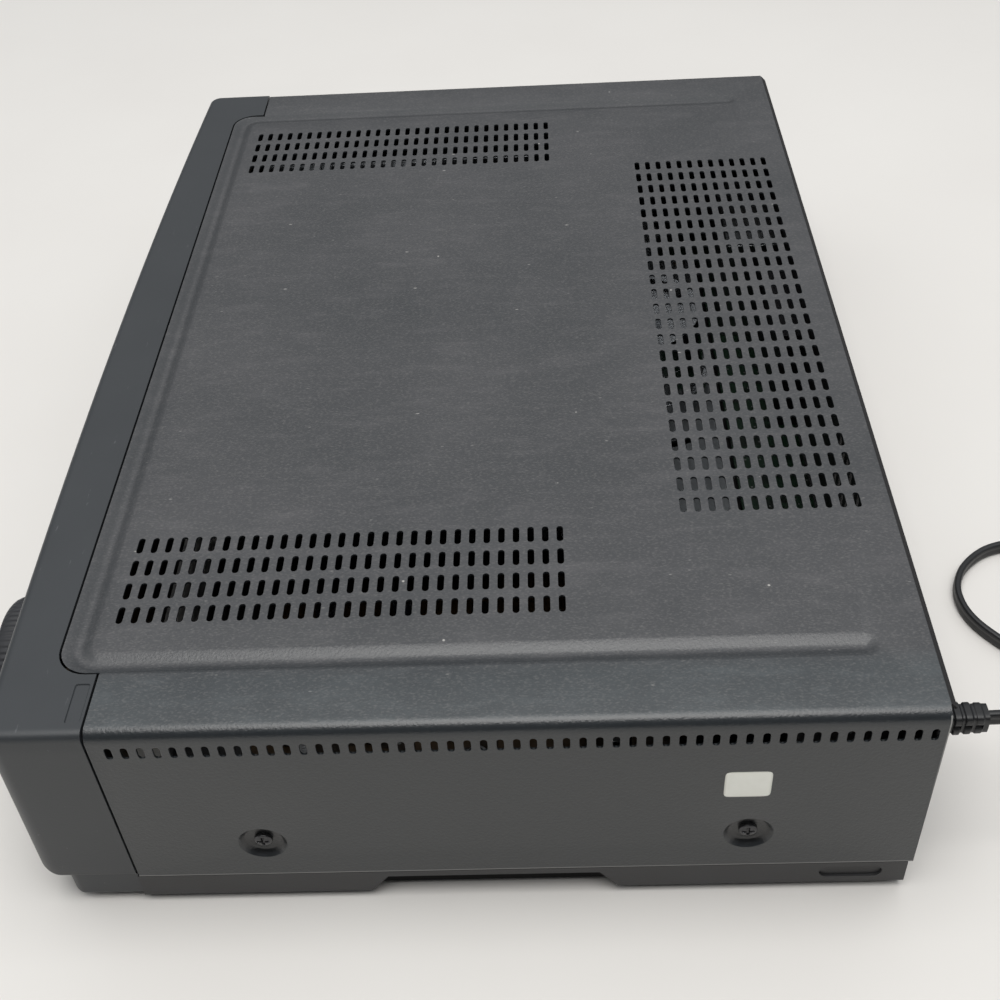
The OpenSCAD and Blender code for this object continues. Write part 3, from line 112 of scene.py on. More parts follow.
def finish_named(name):
    """A fresh material: the material, its tree, its surface shader and its Object coordinates."""
    material = bpy.data.materials.new(name)
    material.use_nodes = True
    tree = material.node_tree
    return material, tree, tree.nodes["Principled BSDF"], add(tree, "TexCoord").outputs["Object"]


def solid_mesh(name, points, faces, material, smooth_angle=35):
    """A mesh object from arrays of points in metres and of faces: without the points that no face uses,
    every face outwards, smooth but for edges over the angle."""
    mesh = bpy.data.meshes.new(name)
    mesh.from_pydata(np.asarray(points).tolist(), [], [list(f) for f in faces])
    shape = bmesh.new()
    shape.from_mesh(mesh)
    bmesh.ops.delete(shape, geom=[v for v in shape.verts if not v.link_faces], context="VERTS")
    bmesh.ops.recalc_face_normals(shape, faces=shape.faces)
    shape.to_mesh(mesh)
    shape.free()
    mesh.materials.append(material)
    mesh.shade_smooth()
    mesh.set_sharp_from_angle(angle=math.radians(smooth_angle))
    piece = bpy.data.objects.new(name, mesh)
    bpy.context.scene.collection.objects.link(piece)
    return piece


def angles(count):
    """Angles evenly round one turn, in radians."""
    return np.linspace(0, 2 * math.pi, count, endpoint=False)


def arc(a, radius=1.0, centre=(0.0, 0.0)):
    """Points at the given angles on a circle about a centre."""
    return np.stack([centre[0] + radius * np.cos(a), centre[1] + radius * np.sin(a)], -1)


def tube_faces(rings, sides):
    """Quads between neighbouring rings of points, ring after ring, with both ends closed."""
    i, k = np.meshgrid(np.arange(rings - 1), np.arange(sides), indexing="ij")
    a, b = i * sides + k, i * sides + (k + 1) % sides
    quads = np.stack([a, b, b + sides, a + sides], -1).reshape(-1, 4).tolist()
    return quads + [list(range(sides))[::-1], list(range((rings - 1) * sides, rings * sides))]


def smooth_line(points, steps):
    """Catmull-Rom curve: a cubic between points, whose slope at each is half its neighbours' difference."""
    p = np.vstack([points[:1], points, points[-1:]])
    t = np.linspace(0, 1, steps, endpoint=False)[None, :, None]
    a, b, c, d = (p[i : len(p) - 3 + i, None] for i in range(4))
    line = 0.5 * (2 * b + (c - a) * t + (2 * a - 5 * b + 4 * c - d) * t**2 + (3 * b - a - 3 * c + d) * t**3)
    return np.vstack([line.reshape(-1, 3), points[-1:]])


def swept(line, outline, roll):
    """Carries an outline of (side, up) offsets along a line. side is level and up is square to it; at
    each point the outline is first turned about the line by its roll, in radians."""
    along = np.gradient(line, axis=0)
    along /= np.linalg.norm(along, axis=1)[:, None]
    side = np.cross(along, (0, 0, 1.0))
    side /= np.linalg.norm(side, axis=1)[:, None]
    up = np.cross(side, along)
    c, s = np.cos(roll)[:, None, None], np.sin(roll)[:, None, None]
    across, high = outline[None, :, :1], outline[None, :, 1:]
    ring = line[:, None] + side[:, None] * (c * across - s * high) + up[:, None] * (s * across + c * high)
    return ring.reshape(-1, 3)


lead_route = np.array([
    (185, 175.6, 53), (185, 183.6, 53), (185, 193, 51.5), (185, 204, 45), (184, 214, 34), (183, 223, 21),
    (181, 232, 10), (178, 240, 4), (173, 247, 2), (165, 251, 1.7), (155, 250, 1.7), (144, 244, 1.7),
    (134, 235, 1.7), (125, 225, 1.7), (116, 217, 1.7), (108, 209.5, 1.7), (99, 203.2, 1.7), (90, 200.1, 1.7),
    (80, 200.1, 1.7), (70, 204.2, 1.7), (62, 211.5, 1.7), (57, 220, 1.7), (54, 233, 1.7), (52, 248, 1.7),
    (51.5, 265, 1.7), (51.5, 282, 1.7), (51.5, 300, 1.7),
]) / 1000
lead_w, lead_t, lead_step, lead_turns = 0.0058, 0.0032, 0.0063, 6.25
coil_outer = 0.034 + lead_step * lead_turns / 4
coil_at = np.array((0.0515 + coil_outer, 0.3 + lead_w))
wound = np.linspace(0, lead_turns, 301)
from_middle = np.abs(wound - lead_turns / 2)
turns_in = lead_turns / 2 + np.where(
    from_middle >= 0.75, -from_middle, 0.25 - 2 * np.maximum(from_middle - 0.25, 0))
# the loops: the radius shrinks by one step a turn to the middle and grows again in the layer above
coil_r = coil_outer - lead_step * turns_in
coil_a = math.pi - 2 * math.pi * wound
climb = np.clip((wound - lead_turns / 2 + 0.25) / 0.5, 0, 1)
climb = climb * climb * (3 - 2 * climb)
loops = np.stack([
    coil_at[0] + coil_r * np.cos(coil_a), coil_at[1] + coil_r * np.sin(coil_a), 0.0017 + 0.0037 * climb
], 1)
coil_end = loops[-1] + (0.024, 0, 0)
tail = loops[-1] + (coil_end - loops[-1]) * np.linspace(0.125, 1, 8)[:, None]
free_line = smooth_line(lead_route, 8)[:-1]
lead_line = np.vstack([free_line, lead_route[-1:], loops, tail])
# a flat flex bends only across its thin way, so it stands on edge up to the coil and turns flat before it
flatten = np.clip((np.arange(len(lead_line)) - len(free_line) + 34) / 32, 0, 1)
lead_roll = math.pi / 2 * (1 - flatten * flatten * (3 - 2 * flatten))
half_high = np.hypot(lead_w / 2 * np.sin(lead_roll), lead_t / 2 * np.cos(lead_roll)) + 0.0001
lead_line[:, 2] = np.maximum(lead_line[:, 2], half_high)

# flex outline: a flattened round with a groove between the cores
turn = angles(24)
flat_x = np.sign(np.cos(turn)) * np.abs(np.cos(turn)) ** 0.85 * (lead_w / 2)
waist = 1 - 0.36 * np.exp(-((flat_x / 0.00065) ** 2))
flat_z = np.sign(np.sin(turn)) * np.abs(np.sin(turn)) ** 0.6 * lead_t / 2
flex_outline = np.stack([flat_x, flat_z * waist], 1)

# Soft PVC, extruded: black with a blue-grey sheen, faint drag lines along it and dust in the groove.
vinyl, tree, surface, spot = finish_named("black_vinyl_flex")
grain = add(tree, "TexNoise", {"Vector": spot, "Scale": 900, "Detail": 3})
dust = add(tree, "TexNoise", {"Vector": spot, "Scale": 60, "Detail": 5})
film = add(tree, "MapRange", {"Value": dust, "From": (0.5, 0.8), "To Max": 0.5})
shade = add(tree, "Mix", {"Factor": film, "A": "#17181a", "B": "#2c2d2f"})
rough = add(tree, "MapRange", {"Value": grain, "To": (0.34, 0.52)})
skin = add(tree, "Bump", {"Height": grain, "Strength": 0.25, "Distance": 0.0001})
connect(surface, {"Base Color": shade, "Roughness": rough, "Normal": skin})

lead = solid_mesh(
    "mains_lead", swept(lead_line, flex_outline, lead_roll), tube_faces(len(lead_line), 24), vinyl, 60)
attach(lead, "chassis")
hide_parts("power_cord", "cord_coil")


def rounded(half_x, half_z, power, count):
    """Outline of a rounded rectangle: a superellipse, whose power says how square it is."""
    a = angles(count)
    c, s = np.cos(a), np.sin(a)
    grow = (np.abs(c) ** power + np.abs(s) ** power) ** (-1 / power)
    return np.stack([half_x * c * grow, half_z * s * grow], 1)


# The relief: sections along the lead whose size goes in and out with the ribs and shrinks outwards,
# with the long groove that splits each rib at its middle height.
exit_x, exit_z, rib_start, rib_pitch = 0.185, 0.053, 0.1527, 0.0036
relief_y = np.linspace(0.1482, 0.1756, 138)
rib_no = np.clip(np.floor((relief_y - rib_start) / rib_pitch), 0, 5)
in_rib = (relief_y - rib_start) / rib_pitch - rib_no
wave = np.clip((np.abs(in_rib - 0.5) - 0.26) / 0.14, 0, 1)
wave = np.where(relief_y > 0.1742, 1.0, wave)
rib_x = (0.0048 - 0.00015 * rib_no) * (1 - wave) + 0.0037 * wave
rib_z = (0.0051 - 0.00015 * rib_no) * (1 - wave) + 0.0041 * wave
flange = relief_y < 0.15215
body_in = relief_y < 0.1497
rib_x = np.where(body_in, 0.0056, np.where(flange, 0.0070, rib_x))
rib_z = np.where(body_in, 0.0046, np.where(flange, 0.0060, rib_z))
square = rounded(1, 1, 5, 48)
groove = np.where(flange | (wave > 0.5), 0, 0.26)[:, None] * np.exp(-((square[None, :, 1] / 0.16) ** 2))
relief_points = np.stack([
    exit_x + rib_x[:, None] * square[None, :, 0] * (1 - groove),
    np.repeat(relief_y[:, None], 48, 1),
    exit_z + rib_z[:, None] * square[None, :, 1],
], -1).reshape(-1, 3)
relief = solid_mesh("lead_strain_relief", relief_points, tube_faces(len(relief_y), 48), vinyl, 40)
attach(relief, "chassis")
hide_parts("strain_relief")

# The plug: neck and body are one moulding, its sections growing from the flex to the grip and the face.
plug_l, plug_z = 0.026, 0.0061
plug_t = np.array([0, 0.06, 0.14, 0.25, 0.34, 0.42, 0.5, 0.62, 0.72, 0.82, 0.9, 0.96, 1.0])
knots = [0, 0.28, 0.42, 0.62, 0.9, 1]
plug_half = np.interp(plug_t, knots, [0.0034, 0.0046, 0.0105, 0.0092, 0.0108, 0.0103])
plug_high = np.interp(plug_t, knots, [0.0024, 0.0042, 0.0056, 0.0048, 0.0058, 0.0052])
plug_mid = np.interp(plug_t, [0, 0.28, 0.42, 1], [coil_end[2], 0.0049, plug_z, plug_z])
grip = rounded(1, 1, 4, 40)
plug_points = np.stack([
    np.repeat(coil_end[0] + plug_l * plug_t[:, None], 40, 1),
    coil_end[1] + plug_half[:, None] * grip[None, :, 0],
    plug_mid[:, None] + plug_high[:, None] * grip[None, :, 1],
], -1).reshape(-1, 3)
plug = solid_mesh("mains_plug", plug_points, tube_faces(len(plug_t), 40), vinyl, 40)
ease = plug.modifiers.new("moulded", "SUBSURF")
ease.levels = ease.render_levels = 1

# Blades: brass strip, nickel plated, with a chamfered tip and a round hole near it.
nickel, tree, surface, spot = finish_named("bright_nickel_plate")
stretch = add(tree, "Mapping", {"Vector": spot, "Scale": (60, 2200, 2200)})
draw = add(tree, "TexNoise", {"Vector": stretch, "Scale": 1, "Detail": 4})
rough = add(tree, "MapRange", {"Value": draw, "To": (0.16, 0.38)})
lines = add(tree, "Bump", {"Height": draw, "Strength": 0.15, "Distance": 0.00005})
connect(surface, {"Base Color": "#c9c5bd", "Metallic": 1.0, "Roughness": rough, "Normal": lines})
blade_t, blade_gap = 0.0015, 0.0127
blade_outline = np.array([
    (0, -3.15), (14.6, -3.15), (16.8, -1.6), (16.8, 1.6), (14.6, 3.15), (0, 3.15)]) / 1000
blade_hole = arc(angles(16), 0.0015, (0.0118, 0))


def cut_sheet(outline, holes, lines=()):
    """Points and triangles over a flat outline, cut along every hole's outline and along extra lines."""
    loops = [outline, *holes]
    edges, start = [], 0
    for i, loop in enumerate([*loops, *lines]):
        n = start + np.arange(len(loop))
        pairs = np.stack([n, np.roll(n, -1)], 1)
        edges.append(pairs if i < len(loops) else pairs[:-1])
        start += len(loop)
    corners = [Vector(p) for p in np.vstack([*loops, *lines]).tolist()]
    result = geometry.delaunay_2d_cdt(corners, np.vstack(edges).tolist(), [], 0, 1e-7, False)
    flat = np.array([tuple(p) for p in result[0]])
    return flat, np.array([list(f) for f in result[2]])


def inside(points, loop):
    """Which points lie in a closed loop: a level ray to the right crosses it an odd number of times."""
    x, y = points[:, 0][:, None], points[:, 1][:, None]
    a, b = loop[None], np.roll(loop, -1, 0)[None]
    spans = (a[..., 1] > y) != (b[..., 1] > y)
    rise = np.where(b[..., 1] == a[..., 1], 1, b[..., 1] - a[..., 1])
    cross = x < a[..., 0] + (y - a[..., 1]) * (b[..., 0] - a[..., 0]) / rise
    return (spans & cross).sum(1) % 2 == 1


def thick(points, triangles, lift):
    """Closes a sheet of triangles into a plate: the sheet, its lifted copy, and a wall at each open edge."""
    n = len(points)
    edges = triangles[:, [0, 1, 1, 2, 2, 0]].reshape(-1, 2)
    key = np.sort(edges, 1)
    _, first, count = np.unique(key[:, 0] * n + key[:, 1], return_index=True, return_counts=True)
    rim = edges[first[count == 1]]
    walls = np.stack([rim[:, 1], rim[:, 0], rim[:, 0] + n, rim[:, 1] + n], 1)
    faces = triangles.tolist() + (triangles[:, ::-1] + n).tolist() + walls.tolist()
    return np.vstack([points, points + lift]), faces


def joined(parts):
    """Several (points, faces) as one."""
    points, faces, start = [], [], 0
    for p, f in parts:
        points.append(p)
        faces += [[i + start for i in face] for face in f]
        start += len(p)
    return np.vstack(points), faces


flat, triangles = cut_sheet(blade_outline, [blade_hole])
triangles = triangles[~inside(flat[triangles].mean(1), blade_hole)]
pair = []
for side in (-1, 1):
    blade_y = np.full(len(flat), coil_end[1] + side * blade_gap / 2 - blade_t / 2)
    sheet = np.stack([coil_end[0] + plug_l - 0.0008 + flat[:, 0], blade_y, plug_z + flat[:, 1]], 1)
    pair.append(thick(sheet, triangles, (0, blade_t, 0)))
blades = solid_mesh("plug_blades", *joined(pair), nickel, 30)
bevel = blades.modifiers.new("broken_edge", "BEVEL")
bevel.width, bevel.segments, bevel.limit_method = 0.0002, 2, "ANGLE"
for piece in (plug, blades):
    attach(piece, "chassis")
    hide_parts("power_plug")

# The tie: a flat strip of black polythene round all the turns, with its ends twisted on top.
polythene, tree, surface, spot = finish_named("polythene_tie_strip")
ribs = add(tree, "TexWave", {"Vector": spot, "Scale": 300, "Distortion": 1.5})
rough = add(tree, "MapRange", {"Value": ribs.outputs["Fac"], "To": (0.3, 0.5)})
skin = add(tree, "Bump", {"Height": ribs.outputs["Fac"], "Strength": 0.3, "Distance": 0.0002})
connect(surface, {"Base Color": "#141415", "Roughness": rough, "Normal": skin})
tie_lo, tie_hi = np.array(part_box("cord_tie"))
tie_mid, tie_half = (tie_lo + tie_hi) / 2, (tie_hi - tie_lo) / 2
strip_t = 0.0007
tie_rings = []
for inset, y in ((0, -0.9), (0, 0.9), (strip_t, 0.9), (strip_t, -0.9)):
    strip = rounded(tie_half[0] - inset, tie_half[2] - inset, 7, 64)
    tie_rings.append(np.stack([
        tie_mid[0] + strip[:, 0], np.full(64, tie_mid[1] + y * tie_half[1]), tie_mid[2] + strip[:, 1]], 1))
tie_faces = [
    [a * 64 + i, a * 64 + (i + 1) % 64, b * 64 + (i + 1) % 64, b * 64 + i]
    for a, b in ((0, 1), (1, 2), (2, 3), (3, 0)) for i in range(64)
]
tie = solid_mesh("coil_tie", np.vstack(tie_rings), tie_faces, polythene, 40)
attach(tie, "chassis")
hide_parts("cord_tie")


# Top cover. One sheet of 0.8 mm steel: punched with its vents, pressed with the bead and the screw dimples,
# then folded down both sides. It is painted after folding, so the paint softens every edge.
case_half, top_z, sheet_t = 0.215, 0.093, 0.0008
bend_r, side_drop = 0.0045, 0.073
bend_at = case_half - bend_r
arc_l = bend_r * math.pi / 2
sheet_half = bend_at + arc_l + side_drop
lane_x, bead_front, bead_corner, bead_end = 0.1862, -0.1203, 0.008, 0.1303
bead_half, bead_deep = 0.0052, 0.0014


def slots(centres, half_l):
    """Round-ended slots about their centres, each one outline of twelve points."""
    a = np.radians([-90, -54, -18, 18, 54, 90])
    right = arc(a, slot_r, (half_l - slot_r, 0))
    loop = np.vstack([right, -right])
    return [loop + c for c in centres]


def grid(xs, ys):
    """Every pair of an x and a y."""
    return np.stack(np.meshgrid(xs, ys), -1).reshape(-1, 2)


def turned(radius, start, end, centre):
    """Points on an arc between two angles in degrees, 10 degrees or so apart."""
    return arc(np.radians(np.linspace(start, end, 37 if abs(end - start) > 100 else 9)), radius, centre)


row_pitch, slot_pitch, slot_half, side_slot_half, slot_r = 0.01092, 0.00503, 0.00375, 0.00275, 0.00115
# two fields of four rows toward the front, one field of 23 across the rear, and a row along either side
field_x, field_front, field_rear, side_front = 0.149, -0.1093, 0.1402, -0.1044
front_rows = np.concatenate([s * field_x + np.array((-1.5, -0.5, 0.5, 1.5)) * row_pitch for s in (-1, 1)])
vent_centres = np.vstack([
    grid(front_rows, field_front + slot_pitch * np.arange(30)),
    grid((np.arange(23) - 11) * row_pitch, field_rear - slot_pitch * np.arange(13)),
])
side_slot_u = bend_at + arc_l + 0.0045
side_centres = grid([-1, 1], side_front + slot_pitch * np.arange(51)) * (side_slot_u, 1)
vents = slots(vent_centres, slot_half) + slots(side_centres, side_slot_half)

tongue_x, tongue_y, tongue_r, start_y, rear, hem = 0.1896, -0.1252, 0.010, -0.1107, 0.1511, 0.0024
blank = np.vstack([
    [(-sheet_half, start_y), (-tongue_x, start_y)],
    turned(tongue_r, 180, 270, (-tongue_x + tongue_r, tongue_y + tongue_r)),
    turned(tongue_r, 270, 360, (tongue_x - tongue_r, tongue_y + tongue_r)),
    [(tongue_x, start_y), (sheet_half, start_y), (sheet_half, rear), (bend_at, rear), (bend_at, rear + hem),
     (-bend_at, rear + hem), (-bend_at, rear), (-sheet_half, rear)],
])
creases = [[(-bend_at + 1e-6, rear + d), (bend_at - 1e-6, rear + d)]
           for d in hem * np.array((0, 0.06, 0.12, 0.18, 0.25))]
for u in bend_at + arc_l * np.arange(9) / 8:
    creases += [[(s * u, start_y + 1e-6), (s * u, rear - 1e-6)] for s in (-1, 1)]
for d in np.linspace(-bead_half, 0.0046, 15):
    r = bead_corner + d
    front = bead_front - d
    creases.append(np.vstack([
        [(-lane_x - d, bead_end)], [(-lane_x - d, bead_front + bead_corner)],
        turned(r, 180, 270, (-lane_x + bead_corner, bead_front + bead_corner))[1:-1],
        [(-lane_x + bead_corner, front), (lane_x - bead_corner, front)],
        turned(r, 270, 360, (lane_x - bead_corner, bead_front + bead_corner))[1:-1],
        [(lane_x + d, bead_front + bead_corner), (lane_x + d, bead_end)],
    ]))
for r in (0.0011, 0.0022, 0.0033, 0.0044, 0.0051):
    creases += [turned(r, 0, 180, (s * lane_x, bead_end)) for s in (-1, 1)]
screw_rows, screw_z = (-0.0650, 0.0950), 0.034
dimples = [(s * (sheet_half - 0.0185), y) for s in (-1, 1) for y in screw_rows]
for c in dimples:
    for r in (0.0030, 0.0052, 0.0058, 0.0066, 0.0074, 0.0082, 0.0088):
        creases.append(np.vstack([ring := turned(r, 0, 360, c), ring[:1]]))

flat, triangles = cut_sheet(blank, vents, creases)
middle = flat[triangles].mean(1)
keep = inside(middle, blank)
for centres, long_half in ((vent_centres, slot_half), (side_centres, side_slot_half)):
    away = np.abs(middle[:, None] - centres[None])
    past = np.maximum(away[..., 0] - (long_half - slot_r), 0)
    keep &= (np.hypot(past, away[..., 1]) > slot_r - 1e-5).all(1)
triangles = triangles[keep]
u, y = flat[:, 0], flat[:, 1]


def bead_distance(u, y):
    """Distance to the bead's middle line: down both sides, round two corners and across the front."""
    a = np.abs(u)
    corner_x, corner_y = lane_x - bead_corner, bead_front + bead_corner
    round_d = np.abs(np.hypot(a - corner_x, y - corner_y) - bead_corner)
    d = np.where(y < corner_y, np.where(a > corner_x, round_d, np.abs(y - bead_front)), np.abs(a - lane_x))
    return np.where(y > bead_end, np.hypot(a - lane_x, y - bead_end), d)


# bead section: a rounded V, straight flanks that ease out at the lip and round at the bottom
flank = np.clip(bead_distance(u, y) / bead_half, 0, 1)
sunk = bead_deep * np.clip(1 - (np.sqrt(flank**2 + 0.05) - 0.2236) / 0.8011, 0, 1) ** 1.3
dimple_r, dimple_wall, dimple_deep = 0.0084, 0.0024, 0.0022
for c in dimples:
    depth = np.clip((dimple_r - np.hypot(u - c[0], y - c[1])) / dimple_wall, 0, 1)
    sunk += dimple_deep * depth * depth * (3 - 2 * depth)
# fold: turn = how far round the bend, at most a quarter; past it the sheet hangs straight down
turn = np.clip((np.abs(u) - bend_at) / bend_r, 0, math.pi / 2)
hang = np.maximum(np.abs(u) - bend_at - arc_l, 0)
# the top's rear hem turns down through 46 degrees in the first quarter of its width, then runs straight
hem_turn = math.radians(46)
past = np.clip((y - rear) / hem, 0, 1) * (np.abs(u) < bend_at + 1e-5)
roll = hem_turn * np.clip(past / 0.25, 0, 1)
drop = hem * math.tan(hem_turn) * (np.maximum(past - 0.25, 0) + 0.5 * np.minimum(past, 0.25) ** 2 / 0.25)
outward = np.stack([np.sign(u) * np.sin(turn), np.sin(roll), np.cos(turn) * np.cos(roll)], 1)
cover_points = np.stack([
    np.sign(u) * (np.minimum(np.abs(u), bend_at) + bend_r * np.sin(turn)), y,
    top_z - bend_r * (1 - np.cos(turn)) - hang - drop], 1)

# Powder-textured enamel on steel: near black, satin, with a fine orange peel. The top has a thin film of
# dust that greys it, warm in the middle, with some specks and nicks; towards the right edge that dust is
# tinted cooler, a painted reflection.
enamel, tree, surface, spot = finish_named("textured_black_enamel")
peel = add(tree, "TexNoise", {"Vector": spot, "Scale": 1100, "Detail": 2, "Roughness": 0.6})
clouds = add(tree, "TexNoise", {"Vector": spot, "Scale": 14, "Detail": 6, "Roughness": 0.62})
wipe_map = add(tree, "Mapping", {"Vector": spot, "Scale": (140, 34, 140), "Rotation": (0, 0, 0.5)})
wipes = add(tree, "TexNoise", {"Vector": wipe_map, "Scale": 1, "Detail": 5, "Roughness": 0.7})
parts = add(tree, "SeparateXYZ", {"Vector": spot})
near_edge = add(tree, "MapRange", {"Value": parts.outputs["X"], "From": (0.186, 0.196)},
                interpolation_type="SMOOTHSTEP")
upward = add(tree, "SeparateXYZ", {"Vector": add(tree, "NewGeometry").outputs["Normal"]})
lying = add(tree, "MapRange", {"Value": upward.outputs["Z"], "From": (0.9, 0.985)})
film = add(tree, "MapRange", {"Value": clouds, "From": (0.1, 0.9), "To Min": 0.1})
streak = add(tree, "MapRange", {"Value": wipes, "From": (0.5, 0.75), "To Max": 0.5})
dust = add(tree, "Math", {0: film, 1: streak}, operation="ADD")
dust = add(tree, "Math", {0: dust, 1: lying}, operation="MULTIPLY")
dusty = add(tree, "Math", {0: dust, 1: 0.62}, operation="MULTIPLY")
paint = add(tree, "Mix", {"Factor": peel, "A": "#222528", "B": "#2e3235"})
# painted reflection: the dust colour turns cooler towards the right edge
dust_and_sheen_tint = add(tree, "Mix", {"Factor": near_edge, "A": "#565557", "B": "#53595c"})
# grit wiped into short strokes along the depth, drawn at 1 mm where the real one is finer
strokes = add(tree, "Mapping", {"Vector": spot, "Scale": (1900, 850, 1900)})
grit = add(tree, "TexNoise", {"Vector": strokes, "Scale": 1, "Detail": 1})
grains = add(tree, "MapRange", {"Value": grit, "From": (0.50, 0.85), "To Max": 0.34})
grains = add(tree, "Math", {0: grains, 1: lying}, operation="MULTIPLY")
# the layers on the paint, from the lowest up: what each covers, and its colour
layers = [(dusty, dust_and_sheen_tint), (grains, "#7c7a78")]
# round specks, and nicks 1 to 2 mm long, the brighter ones rarer: each is one cell of a point pattern,
# kept by a chance, and for a nick the pattern is turned and stretched. A row says how far it is turned,
# its scale, which channel of a cell's colour is its chance, what that must pass, the mark's inner and
# outer reach, and its strength.
marks = (
    (0, 150, 0, 0.972, (0.04, 0.085), 1),
    (0.35, (420, 170, 420), 1, 0.94, (0.06, 0.13), 0.3),
    (-0.5, (330, 130, 330), 1, 0.975, (0.06, 0.13), 0.75),
)
for slant, pull, channel, odds, reach, strength in marks:
    drawn = spot
    if slant:
        drawn = add(tree, "Mapping", {"Vector": spot, "Rotation": (0, 0, slant), "Scale": pull})
    points = add(tree, "TexVoronoi", {"Vector": drawn, "Scale": 1 if slant else pull, "Randomness": 1})
    chance = add(tree, "SeparateColor", {"Color": points.outputs["Color"]}).outputs[channel]
    lucky = add(tree, "Math", {0: chance, 1: odds}, operation="GREATER_THAN")
    thin = add(tree, "MapRange", {"Value": points.outputs["Distance"], "From": reach, "To": (strength, 0)})
    mark = add(tree, "Math", {0: lucky, 1: thin}, operation="MULTIPLY")
    mark = add(tree, "Math", {0: mark, 1: lying}, operation="MULTIPLY")
    layers.append((mark, "#a8a6a2"))
# painted highlight: a light line on the side sheets along the lower edge and the rear one, most in its upper
# half
edge_y = add(tree, "MapRange", {"Value": parts.outputs["Y"], "From": (0.1506, 0.1509)})
low = add(tree, "MapRange", {"Value": parts.outputs["Z"], "From": (0.045, 0.09), "To Max": 0.7})
foot = add(tree, "MapRange", {"Value": parts.outputs["Z"], "From": (0.0159, 0.0163), "To": (0.3, 0)})
upright = add(tree, "Math", {0: 1.0, 1: lying}, operation="SUBTRACT")
from_side = add(tree, "Math", {0: parts.outputs["X"]}, operation="ABSOLUTE")
outermost = add(tree, "Math", {0: from_side, 1: 0.2138}, operation="GREATER_THAN")
painted_edge_highlight = add(tree, "Math", {0: edge_y, 1: low}, operation="MULTIPLY")
for mask, how in ((foot, "MAXIMUM"), (upright, "MULTIPLY"), (outermost, "MULTIPLY")):
    painted_edge_highlight = add(tree, "Math", {0: painted_edge_highlight, 1: mask}, operation=how)
layers.append((painted_edge_highlight, "#b9b9b6"))
# painted shade: the paint is darkened in the screw dimples
for hollow_y in screw_rows:
    off_y = add(tree, "Math", {0: parts.outputs["Y"], 1: hollow_y}, operation="SUBTRACT")
    off_z = add(tree, "Math", {0: parts.outputs["Z"], 1: screw_z}, operation="SUBTRACT")
    off = add(tree, "VectorMath", {0: add(tree, "CombineXYZ", {"X": off_y, "Y": off_z})}, operation="LENGTH")
    hollow = add(tree, "MapRange", {"Value": off, "From": (0.0068, 0.0082), "To": (0.8, 0)})
    hollow = add(tree, "Math", {0: hollow, 1: upright}, operation="MULTIPLY")
    layers.append((hollow, "#0b0b0c"))
# painted shade: the hem is coloured darker than the flat top, and it is also made dull
on_hem = add(tree, "MapRange", {"Value": parts.outputs["Y"], "From": (0.1512, 0.1515)})
colour = paint
for mask, shade in (*layers, (on_hem, "#141315")):
    colour = add(tree, "Mix", {"Factor": mask, "A": colour, "B": shade})
rough = add(tree, "MapRange", {"Value": dust, "To": (0.30, 0.46)})
rough = add(tree, "Math", {0: rough, 1: on_hem}, operation="MAXIMUM")
skin = add(tree, "Bump", {"Height": peel, "Strength": 0.55, "Distance": 0.00018})
connect(surface, {"Base Color": colour, "Roughness": rough, "Normal": skin, "Specular IOR Level": 0.62})

outer = cover_points - outward * sunk[:, None]
both, faces = thick(outer, triangles, -outward * sheet_t)
cover = solid_mesh("pressed_cover", both, faces, enamel, 35)
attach(cover, "chassis")
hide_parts("top_cover")


# Front panel. Injection-moulded ABS, one shell: a bowed face with a flange on top that the cover's tongue
# drops into, two short sides flush with the cover, and under it a set-back plinth. Clipped to the frame.
def bowed_plan(half_x, front, corner):
    """Outline seen from above, rear left to rear right, with its outward normals: straight sides,
    a quarter round at each front corner and between them one flat arc, tangent to both."""
    middle_y = front + bow_r
    low = half_x - corner
    lean = math.asin(low / (bow_r - corner))
    corner_y = middle_y - math.sqrt((bow_r - corner) ** 2 - low**2)
    side_y = np.linspace(panel_rear, corner_y, 6)[:-1]
    round_a = np.linspace(math.pi, 1.5 * math.pi - lean, 11)
    arc_a = np.linspace(-lean, lean, 57)[1:-1]
    left = np.vstack([
        np.stack([np.full(5, -half_x), side_y], 1),
        arc(round_a, corner, (-low, corner_y)),
    ])
    left_n = np.vstack([np.tile((-1.0, 0.0), (5, 1)), arc(round_a)])
    bow = np.stack([bow_r * np.sin(arc_a), middle_y - bow_r * np.cos(arc_a)], 1)
    bow_n = np.stack([np.sin(arc_a), -np.cos(arc_a)], 1)
    return np.vstack([left, bow, left[::-1] * (-1, 1)]), np.vstack([left_n, bow_n, left_n[::-1] * (-1, 1)])


